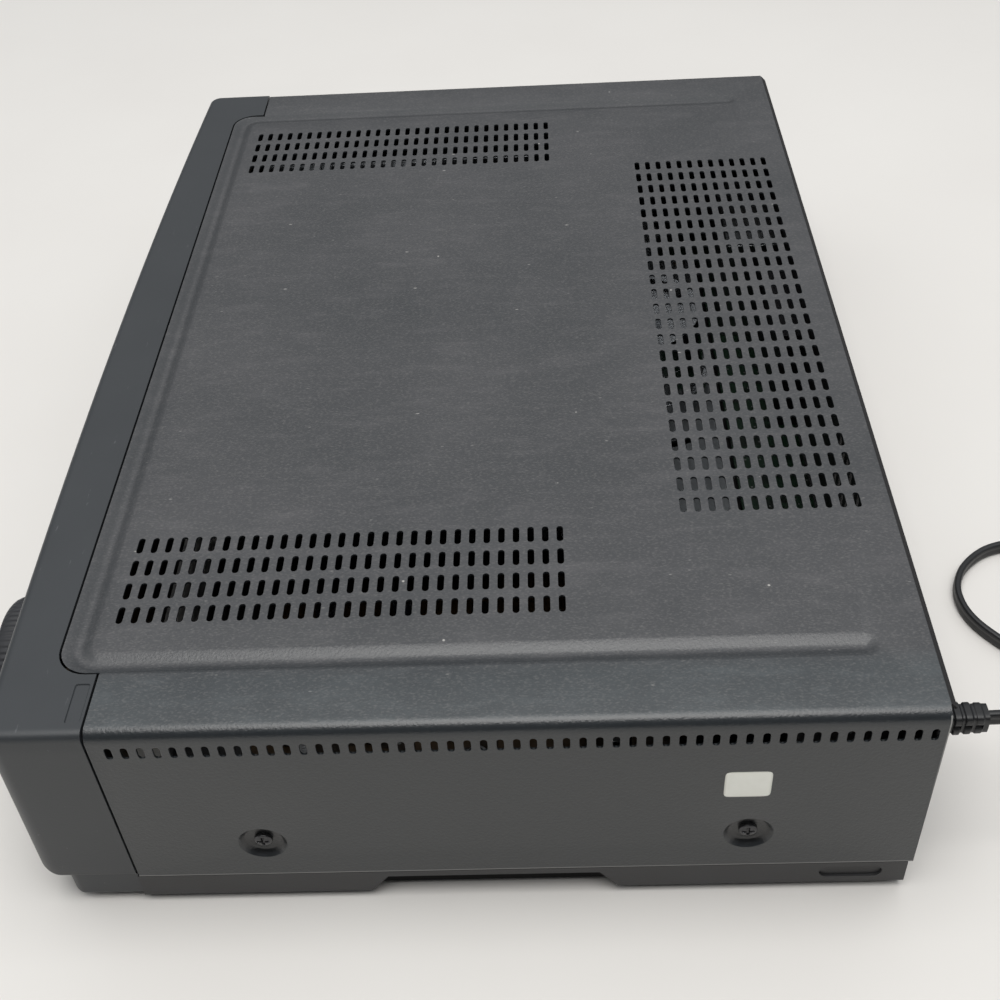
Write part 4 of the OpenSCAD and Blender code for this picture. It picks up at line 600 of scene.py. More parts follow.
def moulding(plan, normals, top, edge, low, low_edge, inset, wall, lean=0.0, openings=()):
    """A shell wall carried along a plan outline. Across: a flat rim, the top edge's quarter round, the
    face, the lower edge's quarter round and a flat lip. low_edge is the lower radius at the sides and
    at the front; lean brings the face's foot forward. Openings are loops of (x, height) on the front."""
    along = np.concatenate([[0], np.cumsum(np.hypot(*np.diff(plan, axis=0).T))])
    frontness = np.clip(-normals[:, 1], 0, 1) ** 2
    steps = np.concatenate([
        [0, 0.5], np.linspace(1, 2, 5), np.linspace(2, 3, 13)[1:], np.linspace(3, 4, 9)[1:], [5]])
    upright = top - edge - low - low_edge[1]
    lengths = np.array((0, inset - edge, edge * 1.571, upright, low_edge[1] * 1.571, 0.003))
    across = np.cumsum(lengths)
    rows = np.interp(steps, np.arange(6), across)
    front_s = [np.stack([np.interp(loop[:, 0], plan[6:-6, 0], along[6:-6]),
                         np.interp(-loop[:, 1], (-(top - edge), -(low + low_edge[1])), across[2:4])], 1)
               for loop in openings]
    lines = [np.stack([along, np.full(len(along), r)], 1) for r in rows[1:-1]]
    lines += [np.stack([np.full(len(rows), s), rows], 1) for s in along[1:-1]]
    edge_loop = [(along[0], rows[0]), (along[-1], rows[0]), (along[-1], rows[-1]), (along[0], rows[-1])]
    flat, triangles = cut_sheet(edge_loop, front_s, lines)
    centre = flat[triangles].mean(1)
    for loop in front_s:
        triangles = triangles[~inside(centre, loop)]
        centre = flat[triangles].mean(1)
    s, t = flat[:, 0], np.interp(flat[:, 1], across, np.arange(6))
    at = np.stack([np.interp(s, along, plan[:, i]) for i in (0, 1)], 1)
    out = np.stack([np.interp(s, along, normals[:, i]) for i in (0, 1)], 1)
    out /= np.linalg.norm(out, axis=1)[:, None]
    face_on = np.interp(s, along, frontness)
    foot_r = low_edge[0] + (low_edge[1] - low_edge[0]) * face_on
    up_a = np.clip(t - 1, 0, 1) * math.pi / 2
    down_a = np.clip(t - 3, 0, 1) * math.pi / 2
    tall = top - edge - low - foot_r
    inward = (inset - (inset - edge) * np.clip(t, 0, 1)) - edge * np.sin(up_a)
    inward += foot_r * (1 - np.cos(down_a)) + 0.003 * np.clip(t - 4, 0, 1)
    height = top - edge * (1 - np.cos(up_a)) - tall * np.clip(t - 2, 0, 1) - foot_r * np.sin(down_a)
    inward -= lean * face_on * np.clip((top - edge - height) / (top - edge - low - foot_r), 0, 1)
    points = np.column_stack([at - out * inward[:, None], height])
    level = np.sin(up_a) * np.cos(down_a)
    lift = np.column_stack([-out * level[:, None], -np.cos(up_a) * (t < 3) + np.sin(down_a)]) * wall
    return points, triangles[:, ::-1], lift


def box_loop(x0, x1, z0, z1, r=0.0006):
    """A rectangle with slightly rounded corners, as an opening's outline."""
    a = np.radians(np.arange(0, 91, 45))
    c, s = np.cos(a) * r, np.sin(a) * r
    return np.vstack([
        np.stack([x1 - r + c, z1 - r + s], 1), np.stack([x0 + r - s, z1 - r + c], 1),
        np.stack([x0 + r - c, z0 + r - s], 1), np.stack([x1 - r + s, z0 + r - c], 1)])


front_y, panel_rear, bow_rise, rim_inset = -0.1475, -0.1115, 0.0043, 0.0042
bow_r = (case_half**2 + bow_rise**2) / (2 * bow_rise)
keys = ["power", "eject", "rewind", "play", "forward", "stop", "pause", "record"]
# a key's opening lies inside the key's retaining rim and clears its face
key_rim, key_gap = 0.0008, 0.00025
key_openings = []
for key in keys:
    lo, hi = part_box(key + "_button")
    key_openings.append(box_loop(lo[0] + key_rim - key_gap, hi[0] - key_rim + key_gap,
                                 lo[2] + key_rim - key_gap, hi[2] - key_rim + key_gap))
dial_lo, dial_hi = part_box("shuttle_ring")
dial_x, dial_z = (dial_lo[0] + dial_hi[0]) / 2, (dial_lo[2] + dial_hi[2]) / 2
openings = [
    box_loop(-0.141, 0.051, 0.0574, 0.0882, 0.0012),  # door
    box_loop(-0.12515, 0.02515, 0.0288, 0.0511, 0.002),  # window
    box_loop(-0.2, -0.144, 0.0225, 0.0435, 0.001),  # jack flap
    arc(angles(48), 0.0205, (dial_x, dial_z)),  # dial
    *key_openings,
]
plan, normals = bowed_plan(case_half, front_y, 0.006)
face_points, face_triangles, face_lift = moulding(
    plan, normals, top=top_z, edge=0.0030, low=0.0165, low_edge=(0.001, 0.0055), inset=rim_inset,
    wall=0.0025, lean=0.0014, openings=openings)
plinth_plan, plinth_normals = bowed_plan(0.2142, front_y + 0.007, 0.004)
plinth_points, plinth_triangles, plinth_lift = moulding(
    plinth_plan, plinth_normals, top=0.0175, edge=0.0008, low=0.004, low_edge=(0.001, 0.003),
    inset=0.003, wall=0.0025)

# The top flange: level from the rim to the cut-out for the tongue, with a shallow pad on its right tab.
rim = plan - normals * rim_inset
cut = 0.0008
flange_loop = np.vstack([
    rim, [(tongue_x + cut, panel_rear)],
    turned(tongue_r + cut, 0, -90, (tongue_x - tongue_r, tongue_y + tongue_r)),
    turned(tongue_r + cut, 270, 180, (-tongue_x + tongue_r, tongue_y + tongue_r)),
    [(-tongue_x - cut, panel_rear)],
])
pad_box, pad_r, pad_flank, pad_deep = (0.1945, 0.2095, -0.1170, -0.1127), 0.0006, 0.0003, 0.0004
grown = [np.array(pad_box) + d * np.array((-1, 1, -1, 1)) for d in (0, pad_flank, 0.0001)]
flat, triangles = cut_sheet(flange_loop, [box_loop(*grown[0], pad_r), box_loop(*grown[1], pad_r + pad_flank)])
triangles = triangles[inside(flat[triangles].mean(1), flange_loop)]
flange_points = np.column_stack([flat, top_z - pad_deep * inside(flat, box_loop(*grown[2], pad_r))])

# Textured ABS: a bluish charcoal with a fine spark-eroded grain, glossier where hands have rubbed it,
# and short pale scuffs along the top.
abs_plastic, tree, surface, spot = finish_named("grained_charcoal_abs")
grain = add(tree, "TexNoise", {"Vector": spot, "Scale": 1500, "Detail": 2})
cloud = add(tree, "TexNoise", {"Vector": spot, "Scale": 22, "Detail": 6, "Roughness": 0.6})
scuff_map = add(tree, "Mapping", {"Vector": spot, "Scale": (70, 420, 200), "Rotation": (0, 0, 0.9)})
scuffs = add(tree, "TexNoise", {"Vector": scuff_map, "Scale": 1, "Detail": 3, "Roughness": 0.75})
mark = add(tree, "MapRange", {"Value": scuffs, "From": (0.68, 0.8), "To Max": 0.5})
base = add(tree, "Mix", {"Factor": cloud, "A": "#2d3033", "B": "#383b3e"})
colour = add(tree, "Mix", {"Factor": mark, "A": base, "B": "#85878a"})
rough = add(tree, "MapRange", {"Value": cloud, "To": (0.36, 0.5)})
skin = add(tree, "Bump", {"Height": grain, "Strength": 0.35, "Distance": 0.0001})
connect(surface, {"Base Color": colour, "Roughness": rough, "Normal": skin})

panel = solid_mesh("front_moulding", *joined([
    thick(face_points, face_triangles, face_lift), thick(plinth_points, plinth_triangles, plinth_lift),
    thick(flange_points, triangles, (0, 0, -0.0015))]), abs_plastic, 35)
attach(panel, "chassis")
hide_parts("front_panel")


# Cover screws. Seven black-passivated steel screws with pan heads and cross recesses: two in dimples on each
# side, three through the rear panel. The head is turned up on a heading machine, so its rim is round.
def screw_head(radius, height, recess=0.0011, rings=22, spokes=64):
    """Head as radius times angle: a flat crown that rounds down to the rim, less a cross whose arms
    get shallower outwards. Returns points about the axis, standing on z = 0, and their faces."""
    r = radius * np.sin(np.linspace(0, 1, rings) * math.pi / 2)
    a = angles(spokes) + math.pi / spokes
    crown = height * (0.62 + 0.38 * np.sqrt(np.clip(1 - (r / radius) ** 2, 0, 1)))
    x, y = r[:, None] * np.cos(a), r[:, None] * np.sin(a)
    arm = np.minimum(np.abs(x), np.abs(y))
    taper = np.clip(1 - r[:, None] / (0.66 * radius), 0, 1) ** 0.5
    cross = np.clip((0.125 * radius + 0.0001 - arm) / 0.00012, 0, 1) * np.clip(taper * 2, 0, 1)
    z = crown[:, None] - recess * cross * (0.35 + 0.65 * taper)
    z = np.vstack([z, np.zeros((1, spokes))])
    x, y = np.vstack([x, x[-1:]]), np.vstack([y, y[-1:]])
    return np.stack([x, y, z], -1).reshape(-1, 3), tube_faces(rings + 1, spokes)


black_steel, tree, surface, spot = finish_named("black_passivated_steel")
grime = add(tree, "TexNoise", {"Vector": spot, "Scale": 900, "Detail": 4})
shade = add(tree, "Mix", {"Factor": grime, "A": "#2f2f30", "B": "#565658"})
rough = add(tree, "MapRange", {"Value": grime, "To": (0.16, 0.34)})
skin = add(tree, "Bump", {"Height": grime, "Strength": 0.2, "Distance": 0.00008})
connect(surface, {"Metallic": 0.75, "Base Color": shade, "Roughness": rough, "Normal": skin})

head_points, head_faces = screw_head(0.0031, 0.0018)
side_seat, rear_seat = 0.2128, 0.1496
screws = []
for side in (-1, 1):
    for y in screw_rows:
        facing_out = (head_points + (0, 0, side_seat))[:, [2, 0, 1]]
        screws.append((facing_out * (side, side, 1) + (0, y, screw_z), head_faces))
for x in (-0.15, 0, 0.15):
    screws.append((head_points[:, [1, 2, 0]] + (x, rear_seat, 0.079), head_faces))
heads = solid_mesh("pan_head_screws", *joined(screws), black_steel, 30)
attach(heads, "chassis")
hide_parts("cover_screws")


# Bottom frame, plate and feet. The frame is one moulding of black polystyrene: floor, skirt flush with the
# cover, lifting recesses and posts. A zinc-plated plate lies in its pocket; four rubber feet are pressed in.
def dressed(node, material, edge):
    """The CAD node again with its corners broken by a round of a width: a merged copy of its mesh, flat
    faces made whole, then Bevel and Weighted Normal. It stands for the node and rides as it does."""
    source = frame["nodes"][node]
    mesh = source.data.copy()
    shape = bmesh.new()
    shape.from_mesh(mesh)
    bmesh.ops.remove_doubles(shape, verts=shape.verts, dist=2e-6)
    bmesh.ops.dissolve_limit(shape, angle_limit=math.radians(0.3), verts=shape.verts, edges=shape.edges)
    shape.to_mesh(mesh)
    shape.free()
    mesh.materials.clear()
    mesh.materials.append(material)
    mesh.shade_smooth()
    piece = bpy.data.objects.new(node + "_dressed", mesh)
    bpy.context.scene.collection.objects.link(piece)
    bevel = piece.modifiers.new("broken_edges", "BEVEL")
    bevel.width, bevel.segments, bevel.limit_method = edge, 2, "ANGLE"
    bevel.angle_limit, bevel.miter_outer = math.radians(32), "MITER_ARC"
    even = piece.modifiers.new("even_shading", "WEIGHTED_NORMAL")
    even.keep_sharp = True
    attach(piece, source["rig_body"])
    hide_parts(node)
    return piece


def mottled(name, dark, light, cloud, rough, relief, metallic=0.0, stretch=(1, 1, 1)):
    """A finish whose colour wanders between two shades in clouds of a scale, with roughness from the
    same clouds and a fine relief of (scale, metres). stretch draws both out along an axis."""
    material, tree, surface, spot = finish_named(name)
    spot = add(tree, "Mapping", {"Vector": spot, "Scale": stretch})
    clouds = add(tree, "TexNoise", {"Vector": spot, "Scale": cloud, "Detail": 6, "Roughness": 0.6})
    fine = add(tree, "TexNoise", {"Vector": spot, "Scale": relief[0], "Detail": 3})
    even = add(tree, "MapRange", {"Value": clouds, "From": (0.3, 0.7)})
    tone = add(tree, "Mix", {"Factor": even, "A": dark, "B": light})
    gloss = add(tree, "MapRange", {"Value": clouds, "To": rough})
    skin = add(tree, "Bump", {"Height": fine, "Strength": 0.4, "Distance": relief[1]})
    connect(surface, {"Metallic": metallic, "Base Color": tone, "Roughness": gloss, "Normal": skin})
    return material


# Polystyrene, moulded in a lightly etched tool: near black with a dull sheen and fine grain.
frame_plastic = mottled("etched_black_polystyrene", "#2b2b2c", "#343436", 30, (0.42, 0.55), (1400, 0.00012))
# painted shade: inside the lifting recesses, and on the recess plates behind them, the plastic is coloured
# near black and given little specular
tree = frame_plastic.node_tree
parts = add(tree, "SeparateXYZ", {"Vector": add(tree, "TexCoord").outputs["Object"]})
from_side = add(tree, "Math", {0: parts.outputs["X"]}, operation="ABSOLUTE")
set_back = add(tree, "MapRange", {"Value": from_side, "From": (0.2116, 0.2142), "To": (1, 0)})
outside = add(tree, "Math", {0: from_side, 1: 0.2085}, operation="GREATER_THAN")
black = add(tree, "Math", {0: set_back, 1: outside}, operation="MULTIPLY")
ahead = add(tree, "Math", {0: parts.outputs["Y"], 1: 0.08}, operation="LESS_THAN")
black = add(tree, "Math", {0: black, 1: ahead}, operation="MULTIPLY")
surface = tree.nodes["Principled BSDF"]
grey = surface.inputs["Base Color"].links[0].from_socket
shade = add(tree, "Mix", {"Factor": black, "A": grey, "B": "#09090a"})
dull = add(tree, "MapRange", {"Value": black, "To": (0.5, 0.05)})
connect(surface, {"Base Color": shade, "Specular IOR Level": dull})
dressed("main_frame", frame_plastic, 0.0004)
# Plates against the moulding bring the lifting recess to 3.5 mm deep and the handling slot near the rear
# to 0.9 mm: a trapezium and a round-ended strip on either side, given as (depth, height) outlines.
recess = np.array([(-0.0325, 0.0041), (0.0535, 0.0041), (0.0465, 0.0122), (-0.0255, 0.0122)])
turn = np.linspace(-math.pi / 2, 3 * math.pi / 2, 32, endpoint=False)
strip = np.stack([0.1310 + 0.0075 * np.where(np.cos(turn) > 0, 1, -1) + 0.0029 * np.cos(turn),
                  0.0100 + 0.0029 * np.sin(turn)], 1)
plates = []
for side in (-1, 1):
    for loop, back, face in ((recess, 0.2099, 0.2115), (strip, 0.2124, 0.2141)):
        rings = [np.column_stack([np.full(len(loop), side * x), loop]) for x in (back, face)]
        plates.append((np.vstack(rings), tube_faces(2, len(loop))))
# the recess plates take the frame's painted shade and come out near black
backing = solid_mesh("recess_backs", *joined(plates), frame_plastic)
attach(backing, "chassis")
# Zinc plate, bright passivated: grey with soft crystals and long rolling marks.
zinc = mottled("zinc_plated_sheet", "#8c8f92", "#b4b7b8", 55, (0.28, 0.5), (700, 0.00006), 1.0, (1, 0.25, 1))
dressed("bottom_plate", zinc, 0.00015)
# Moulded rubber: matt, dark, with a chalky bloom.
rubber = mottled("bloomed_black_rubber", "#161617", "#2b2b2b", 130, (0.62, 0.85), (2200, 0.0001))
dressed("feet", rubber, 0.0008)


# Sticker. A blank round-cornered sticker of white polyester film with a paper tone, bare of any print, on
# the right side near the rear. Its edges have picked up a little dirt.
film_face, tree, surface, spot = finish_named("aged_white_film")
fibre = add(tree, "TexNoise", {"Vector": spot, "Scale": 500, "Detail": 6})
parts = add(tree, "SeparateXYZ", {"Vector": spot})
label_lo, label_hi = np.array(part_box("side_label"))
label_mid = (label_lo + label_hi) / 2
label_half = label_hi - label_mid
near = []
for i, axis in ((1, "Y"), (2, "Z")):
    off = add(tree, "Math", {0: parts.outputs[axis], 1: label_mid[i]}, operation="SUBTRACT")
    off = add(tree, "Math", {0: off}, operation="ABSOLUTE")
    near.append(add(tree, "Math", {0: off, 1: label_half[i]}, operation="DIVIDE"))
rim_near = add(tree, "Math", {0: near[0], 1: near[1]}, operation="MAXIMUM")
dirt = add(tree, "MapRange", {"Value": rim_near, "From": (0.9, 1.0), "To Max": 0.5})
clean = add(tree, "Mix", {"Factor": fibre, "A": "#f2f3ea", "B": "#fafbf4"})
shade = add(tree, "Mix", {"Factor": dirt, "A": clean, "B": "#b9b8ac"})
connect(surface, {"Base Color": shade, "Roughness": 0.38})
label_loop = rounded(label_half[1], label_half[2], 9, 96)
label_points = np.vstack([
    np.column_stack([np.full(96, case_half + out), label_mid[1:] + k * label_loop])
    for k, out in ((1.0, 0.00002), (1.0, 0.00008), (0.985, 0.0001))])
label = solid_mesh("blank_sticker", label_points, tube_faces(3, 96), film_face, 30)
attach(label, "chassis")
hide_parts("side_label")


# Front works. Door, flap and eight keys are mouldings of the same ABS as the front; the keys are
# half gloss from handling. Each is clipped or hinged into its opening.
key_plastic = mottled("polished_charcoal_abs", "#2f3136", "#3a3c41", 90, (0.18, 0.34), (1800, 0.00004))
record_plastic = mottled("polished_oxblood_abs", "#4a1013", "#5c171a", 90, (0.18, 0.34), (1800, 0.00004))
dressed("cassette_door", abs_plastic, 0.0005)
dressed("jack_flap", abs_plastic, 0.0004)
for key in keys:
    red = key == "record"
    dressed(key + "_button", record_plastic if red else key_plastic,
            0.0006)

# Window and display. Smoked cast acrylic, polished, lets only a little light through; behind it the
# tube's dark filter glass shows rows of unlit phosphor bars over a fine grid.
smoke, tree, surface, spot = finish_named("smoked_cast_acrylic")
drawn = add(tree, "Mapping", {"Vector": spot, "Scale": (60, 60, 900)})
wear = add(tree, "TexNoise", {"Vector": drawn, "Scale": 1, "Detail": 4})
rough = add(tree, "MapRange", {"Value": wear, "From": (0.45, 0.8), "To": (0.03, 0.16)})
connect(surface, {"Roughness": rough, "Base Color": "#3a3e44", "Transmission Weight": 0.55, "IOR": 1.49})
dressed("display_window", smoke, 0.0002)

tube_glass, tree, surface, spot = finish_named("filtered_display_glass")
flat_on = add(tree, "Mapping", {"Vector": spot, "Rotation": (math.pi / 2, 0, 0), "Location": (0.111, 0, 0)})
bars = add(tree, "TexBrick", {
    "Vector": flat_on, "Color1": "#4d625f", "Color2": "#5a706c", "Mortar": "#0d1413",
    "Scale": 1, "Mortar Size": 0.0007, "Brick Width": 0.0042, "Row Height": 0.0024}, offset=0.0)
mesh_lines = add(tree, "TexWave", {"Vector": spot, "Scale": 260}, bands_direction="DIAGONAL")
shade = add(tree, "Mix", {"Factor": mesh_lines.outputs["Fac"], "A": bars, "B": "#1b2624"})
connect(surface, {"Base Color": shade, "Roughness": 0.08, "Coat Weight": 0.6})
dressed("display_tube", tube_glass, 0.0008)

# Door spring. Drawn carbon-steel wire, wound on the door's pin, with one leg resting on the ear.
spring_steel = mottled(
    "drawn_spring_wire", "#6f6e6b", "#8b8a86", 300, (0.25, 0.42), (1500, 0.00003), 1.0, (1, 0.1, 1))
spring_lo, spring_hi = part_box("door_spring")
wire_r, wind_r = 0.00035, 0.0018
wind_y, wind_z = spring_lo[1] + 0.0022, spring_lo[2] + 0.0022


def wound_wire(turns, steps, sides=10):
    """A helix about the x axis: its middle line turns at the winding radius while it moves along x, and
    round it the section goes out along the radius by the wire's cosine and along x by its sine."""
    a = np.linspace(0, 2 * math.pi * turns, steps)[:, None]
    b = angles(sides)[None]
    reach = wind_r + wire_r * np.cos(b)
    x = np.linspace(spring_lo[0] + wire_r, spring_hi[0] - wire_r, steps)[:, None] + wire_r * np.sin(b)
    return np.stack([x, wind_y + reach * np.sin(a), wind_z + reach * np.cos(a)], -1).reshape(-1, 3)


leg_y, leg_a = np.meshgrid(np.linspace(wind_y, spring_hi[1], 12), angles(10), indexing="ij")
leg = np.stack([spring_hi[0] - wire_r + wire_r * np.sin(leg_a), leg_y,
                wind_z + wind_r + wire_r * np.cos(leg_a)], -1).reshape(-1, 3)
spring = solid_mesh("door_torsion_spring", *joined([
    (wound_wire(6.0, 180), tube_faces(180, 10)), (leg, tube_faces(12, 10))]), spring_steel, 50)
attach(spring, "chassis")
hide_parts("door_spring")


# Dial. An outer shuttle ring with a ribbed rim turns against its spring; the jog dial in its recess
# has turned rings and a finger hollow. Both are moulded ABS, the ring matt and the dial half gloss.
def lathed(profile, sides, centre, ribs=0, rib_depth=0.0, closed=False):
    """Profile of (radius, y) turned about the axis along y. Between the marked radii the rim goes in and
    out as a cosine of the angle, once for each rib. closed joins the profile's end to its start."""
    a = angles(sides)[None]
    r = np.repeat(profile[:, :1], sides, 1) - rib_depth * profile[:, 2:] * (0.5 + 0.5 * np.cos(ribs * a))
    points = np.stack([centre[0] + r * np.cos(a), profile[:, 1:2] + 0 * a, centre[1] + r * np.sin(a)], -1)
    faces = tube_faces(len(profile), sides)
    if closed:
        k = np.arange(sides)
        last = (len(profile) - 1) * sides
        faces = faces[:-2] + np.stack([last + k, last + (k + 1) % sides, (k + 1) % sides, k], 1).tolist()
    return points.reshape(-1, 3), faces


ring_profile = np.array([
    (20.0, -141.1, 0), (20.0, -146.6, 0), (26.2, -146.6, 0), (26.8, -147.0, 0.4),
    (27.0, -148.0, 1), (27.0, -150.5, 1), (27.0, -153.5, 1), (27.0, -156.5, 1),
    (26.9, -158.6, 1), (26.5, -160.2, 0.6), (25.9, -161.5, 0.1), (25.2, -162.2, 0),
    (24.2, -162.5, 0), (22.6, -162.4, 0), (21.0, -161.9, 0), (19.4, -161.9, 0),
    (18.2, -162.3, 0), (17.7, -162.2, 0), (17.45, -161.7, 0), (17.4, -160.5, 0),
    (17.4, -155.6, 0), (17.0, -155.5, 0), (3.1, -155.5, 0), (3.1, -141.1, 0),
]) * (0.001, 0.001, 1)
ring_plastic = mottled("matt_black_abs", "#232427", "#2e2f33", 60, (0.45, 0.6), (1500, 0.0001))
shuttle = solid_mesh(
    "ribbed_shuttle_ring", *lathed(ring_profile[::-1], 360, (dial_x, dial_z), 72, 0.00045, True),
    ring_plastic, 40)
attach(shuttle, "shuttle_ring")
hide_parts("shuttle_ring")

jog_r = np.concatenate([np.linspace(0.0002, 16.0, 60), [16.5, 16.8, 16.95, 17.0, 17.0, 16.8, 3.0, 3.0, 3.0]])
jog_y = np.concatenate([
    np.full(60, -161.7), [-161.62, -161.4, -161.1, -160.6, -156.2, -155.8, -155.8, -140.0, -130.3]])
jog_profile = np.stack([jog_r / 1000, jog_y / 1000, 0 * jog_r], 1)
jog_points, jog_faces = lathed(jog_profile[::-1], 180, (dial_x, dial_z))
# the finger hollow is a ball's cap: the ball's radius, how far off the axis it is and how far above the face
hollow_r, hollow_x, hollow_up = 0.0045, 0.00935, 0.0022
on_face = jog_points[:, 1] < -0.16155
from_dip = np.hypot(jog_points[:, 0] - dial_x - hollow_x, jog_points[:, 2] - dial_z)
dip = np.sqrt(np.clip(hollow_r**2 - from_dip**2, 0, None)) - hollow_up
jog_points[:, 1] += np.where(on_face, np.clip(dip, 0, None), 0)
dial_gloss, tree, surface, spot = finish_named("turned_ring_abs")
spot = add(tree, "Mapping", {"Vector": spot, "Location": (-dial_x, 0, -dial_z), "Scale": (1, 0, 1)})
rings = add(tree, "TexWave", {"Vector": spot, "Scale": 190}, wave_type="RINGS", rings_direction="SPHERICAL")
ring_bump = add(tree, "Bump", {"Height": rings.outputs["Fac"], "Strength": 0.5, "Distance": 0.00006})
rough = add(tree, "MapRange", {"Value": rings.outputs["Fac"], "To": (0.22, 0.36)})
shade = add(tree, "Mix", {"Factor": rings.outputs["Fac"], "A": "#37383c", "B": "#44464b"})
connect(surface, {"Base Color": shade, "Roughness": rough, "Normal": ring_bump})
jog = solid_mesh("jog_dial_turned", jog_points, jog_faces, dial_gloss, 35)
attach(jog, "jog_dial")
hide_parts("jog_dial")

# Rear. A black painted sheet with two aerial sockets on the tuner and two rows of phono sockets, held
# by the screws above. The phono block is one moulding whose collars are coloured by channel.
rear_paint = mottled("satin_black_baked_paint", "#262627", "#313132", 24, (0.34, 0.48), (1200, 0.0001))
dressed("rear_panel", rear_paint, 0.00015)

threaded, tree, surface, spot = finish_named("nickel_plated_thread")
wave_unit = 0.314  # metres from crest to crest in a wave texture of scale 1
pitch = add(tree, "TexWave", {"Vector": spot, "Scale": wave_unit / 0.0008}, bands_direction="Y")
groove = add(tree, "Bump", {"Height": pitch.outputs["Fac"], "Strength": 1.0, "Distance": 0.0003})
tarnish = add(tree, "TexNoise", {"Vector": spot, "Scale": 400, "Detail": 5})
rough = add(tree, "MapRange", {"Value": tarnish, "To": (0.15, 0.36)})
shade = add(tree, "Mix", {"Factor": tarnish, "A": "#b6b2a8", "B": "#d3d0c8"})
connect(surface, {"Metallic": 1.0, "Base Color": shade, "Roughness": rough, "Normal": groove})
dressed("rf_jacks", threaded, 0.0002)

socket_block, tree, surface, spot = finish_named("colour_coded_phono_block")
parts = add(tree, "SeparateXYZ", {"Vector": spot})
flat_on = add(tree, "Mapping", {"Vector": spot, "Scale": (1, 0, 1)})
proud = add(tree, "MapRange", {"Value": parts.outputs["Y"], "From": (0.1490, 0.1492)})
out_far = add(tree, "MapRange", {"Value": parts.outputs["Y"], "From": (0.1501, 0.1502)})
speck = add(tree, "TexNoise", {"Vector": spot, "Scale": 300})
colour = add(tree, "Mix", {"Factor": speck, "A": "#1b1b1d", "B": "#27272a"})
shell = 0.0
for column, tint in ((-0.060, "#c9a514"), (-0.042, "#d8d6cf"), (-0.024, "#a31b1d")):
    for row in (0.058, 0.036):
        from_axis = add(tree, "VectorMath", {0: flat_on, 1: (column, 0, row)}, operation="DISTANCE")
        collar = add(tree, "MapRange", {"Value": from_axis, "From": (0.0057, 0.0059), "To": (1, 0)})
        collar = add(tree, "Math", {0: collar, 1: proud}, operation="MULTIPLY")
        colour = add(tree, "Mix", {"Factor": collar, "A": colour, "B": tint})
        # the metal shell stands between 2.2 and 4.3 mm from the axis
        metal = add(tree, "Math", {0: from_axis, 1: 0.00325, 2: 0.00105}, operation="COMPARE")
        shell = add(tree, "Math", {0: shell, 1: metal}, operation="MAXIMUM")
shell = add(tree, "Math", {0: shell, 1: out_far}, operation="MULTIPLY")
colour = add(tree, "Mix", {"Factor": shell, "A": colour, "B": "#cfccc4"})
rough = add(tree, "MapRange", {"Value": shell, "To": (0.36, 0.2)})
connect(surface, {"Base Color": colour, "Roughness": rough, "Metallic": shell})
dressed("av_jacks", socket_block, 0.0002)

# Deck. Zinc-plated steel plate and brackets, pressed and riveted, with yellow-zinc screws; the
# cassette holder slides and drops on them.
deck_zinc = mottled(
    "rolled_zinc_plate", "#7f8285", "#a3a6a8", 40, (0.3, 0.5), (800, 0.00005), 1.0, (0.2, 1, 1))
yellow_zinc = mottled("yellow_chromated_zinc", "#a88a3c", "#c7ac62", 500, (0.25, 0.4), (1500, 0.00004), 1.0)
for node, edge in (("deck_plate", 0.0002), ("cassette_brackets", 0.0002), ("carriage_slide", 0.0002),
                   ("cassette_holder", 0.00025), ("pinch_arm", 0.0002), ("tension_arm", 0.0002)):
    dressed(node, deck_zinc, edge)
dressed("deck_screws", yellow_zinc, 0.0002)


def turned_metal(name, dark, light, axis, pitch, rough):
    """Lathe marks: a wave of rings about an upright axis at a place (x, y), pitch metres apart, in both
    the relief and the roughness, with a broken sheen between two shades."""
    material, tree, surface, spot = finish_named(name)
    spot = add(tree, "Mapping", {
        "Vector": spot, "Location": (-axis[0], -axis[1], 0), "Scale": (1, 1, 0)})
    rings = add(tree, "TexWave", {"Vector": spot, "Scale": wave_unit / pitch, "Distortion": 0.3},
                wave_type="RINGS", rings_direction="SPHERICAL")
    stain = add(tree, "TexNoise", {"Vector": spot, "Scale": 90, "Detail": 4})
    tone = add(tree, "Mix", {"Factor": stain, "A": dark, "B": light})
    gloss = add(tree, "MapRange", {"Value": rings.outputs["Fac"], "To": rough})
    marks = add(tree, "Bump", {"Height": rings.outputs["Fac"], "Strength": 0.3, "Distance": 0.00003})
    connect(surface, {
        "Metallic": 1.0, "Anisotropic": 0.4, "Base Color": tone, "Roughness": gloss, "Normal": marks})
    return material


# Drum and heads. Turned aluminium drum on a slant; lapped metal heads in screening cans; polished
# steel guide pins; a brass-coloured flywheel on the capstan, over its wound motor board.
drum_metal = turned_metal("turned_aluminium", "#b9bcc0", "#d4d6d8", (-0.045, 0.076), 0.0005, (0.14, 0.26))
dressed("upper_drum", drum_metal, 0.0003)
dressed("lower_drum", drum_metal, 0.0003)
lapped = mottled(
    "lapped_screening_alloy", "#6a6a6c", "#8d8d8e", 250, (0.16, 0.3), (1600, 0.00002), 1.0, (1, 1, 0.15))
dressed("erase_head", lapped, 0.0003)
dressed("control_head", lapped, 0.0003)
guide_steel = mottled(
    "polished_guide_steel", "#9fa1a3", "#c3c5c6", 200, (0.1, 0.22), (1500, 0.00002), 1.0, (1, 1, 0.2))
dressed("supply_guide", guide_steel, 0.0002)
dressed("takeup_guide", guide_steel, 0.0002)
brass = turned_metal("turned_brass", "#a98c4c", "#c9ad6d", (0.017, 0.046), 0.0006, (0.16, 0.3))
dressed("capstan_rotor", brass, 0.0003)
stator = mottled("varnished_coil_board", "#31401f", "#7a4a22", 160, (0.25, 0.5), (900, 0.0002))
dressed("capstan_stator", stator, 0.0003)
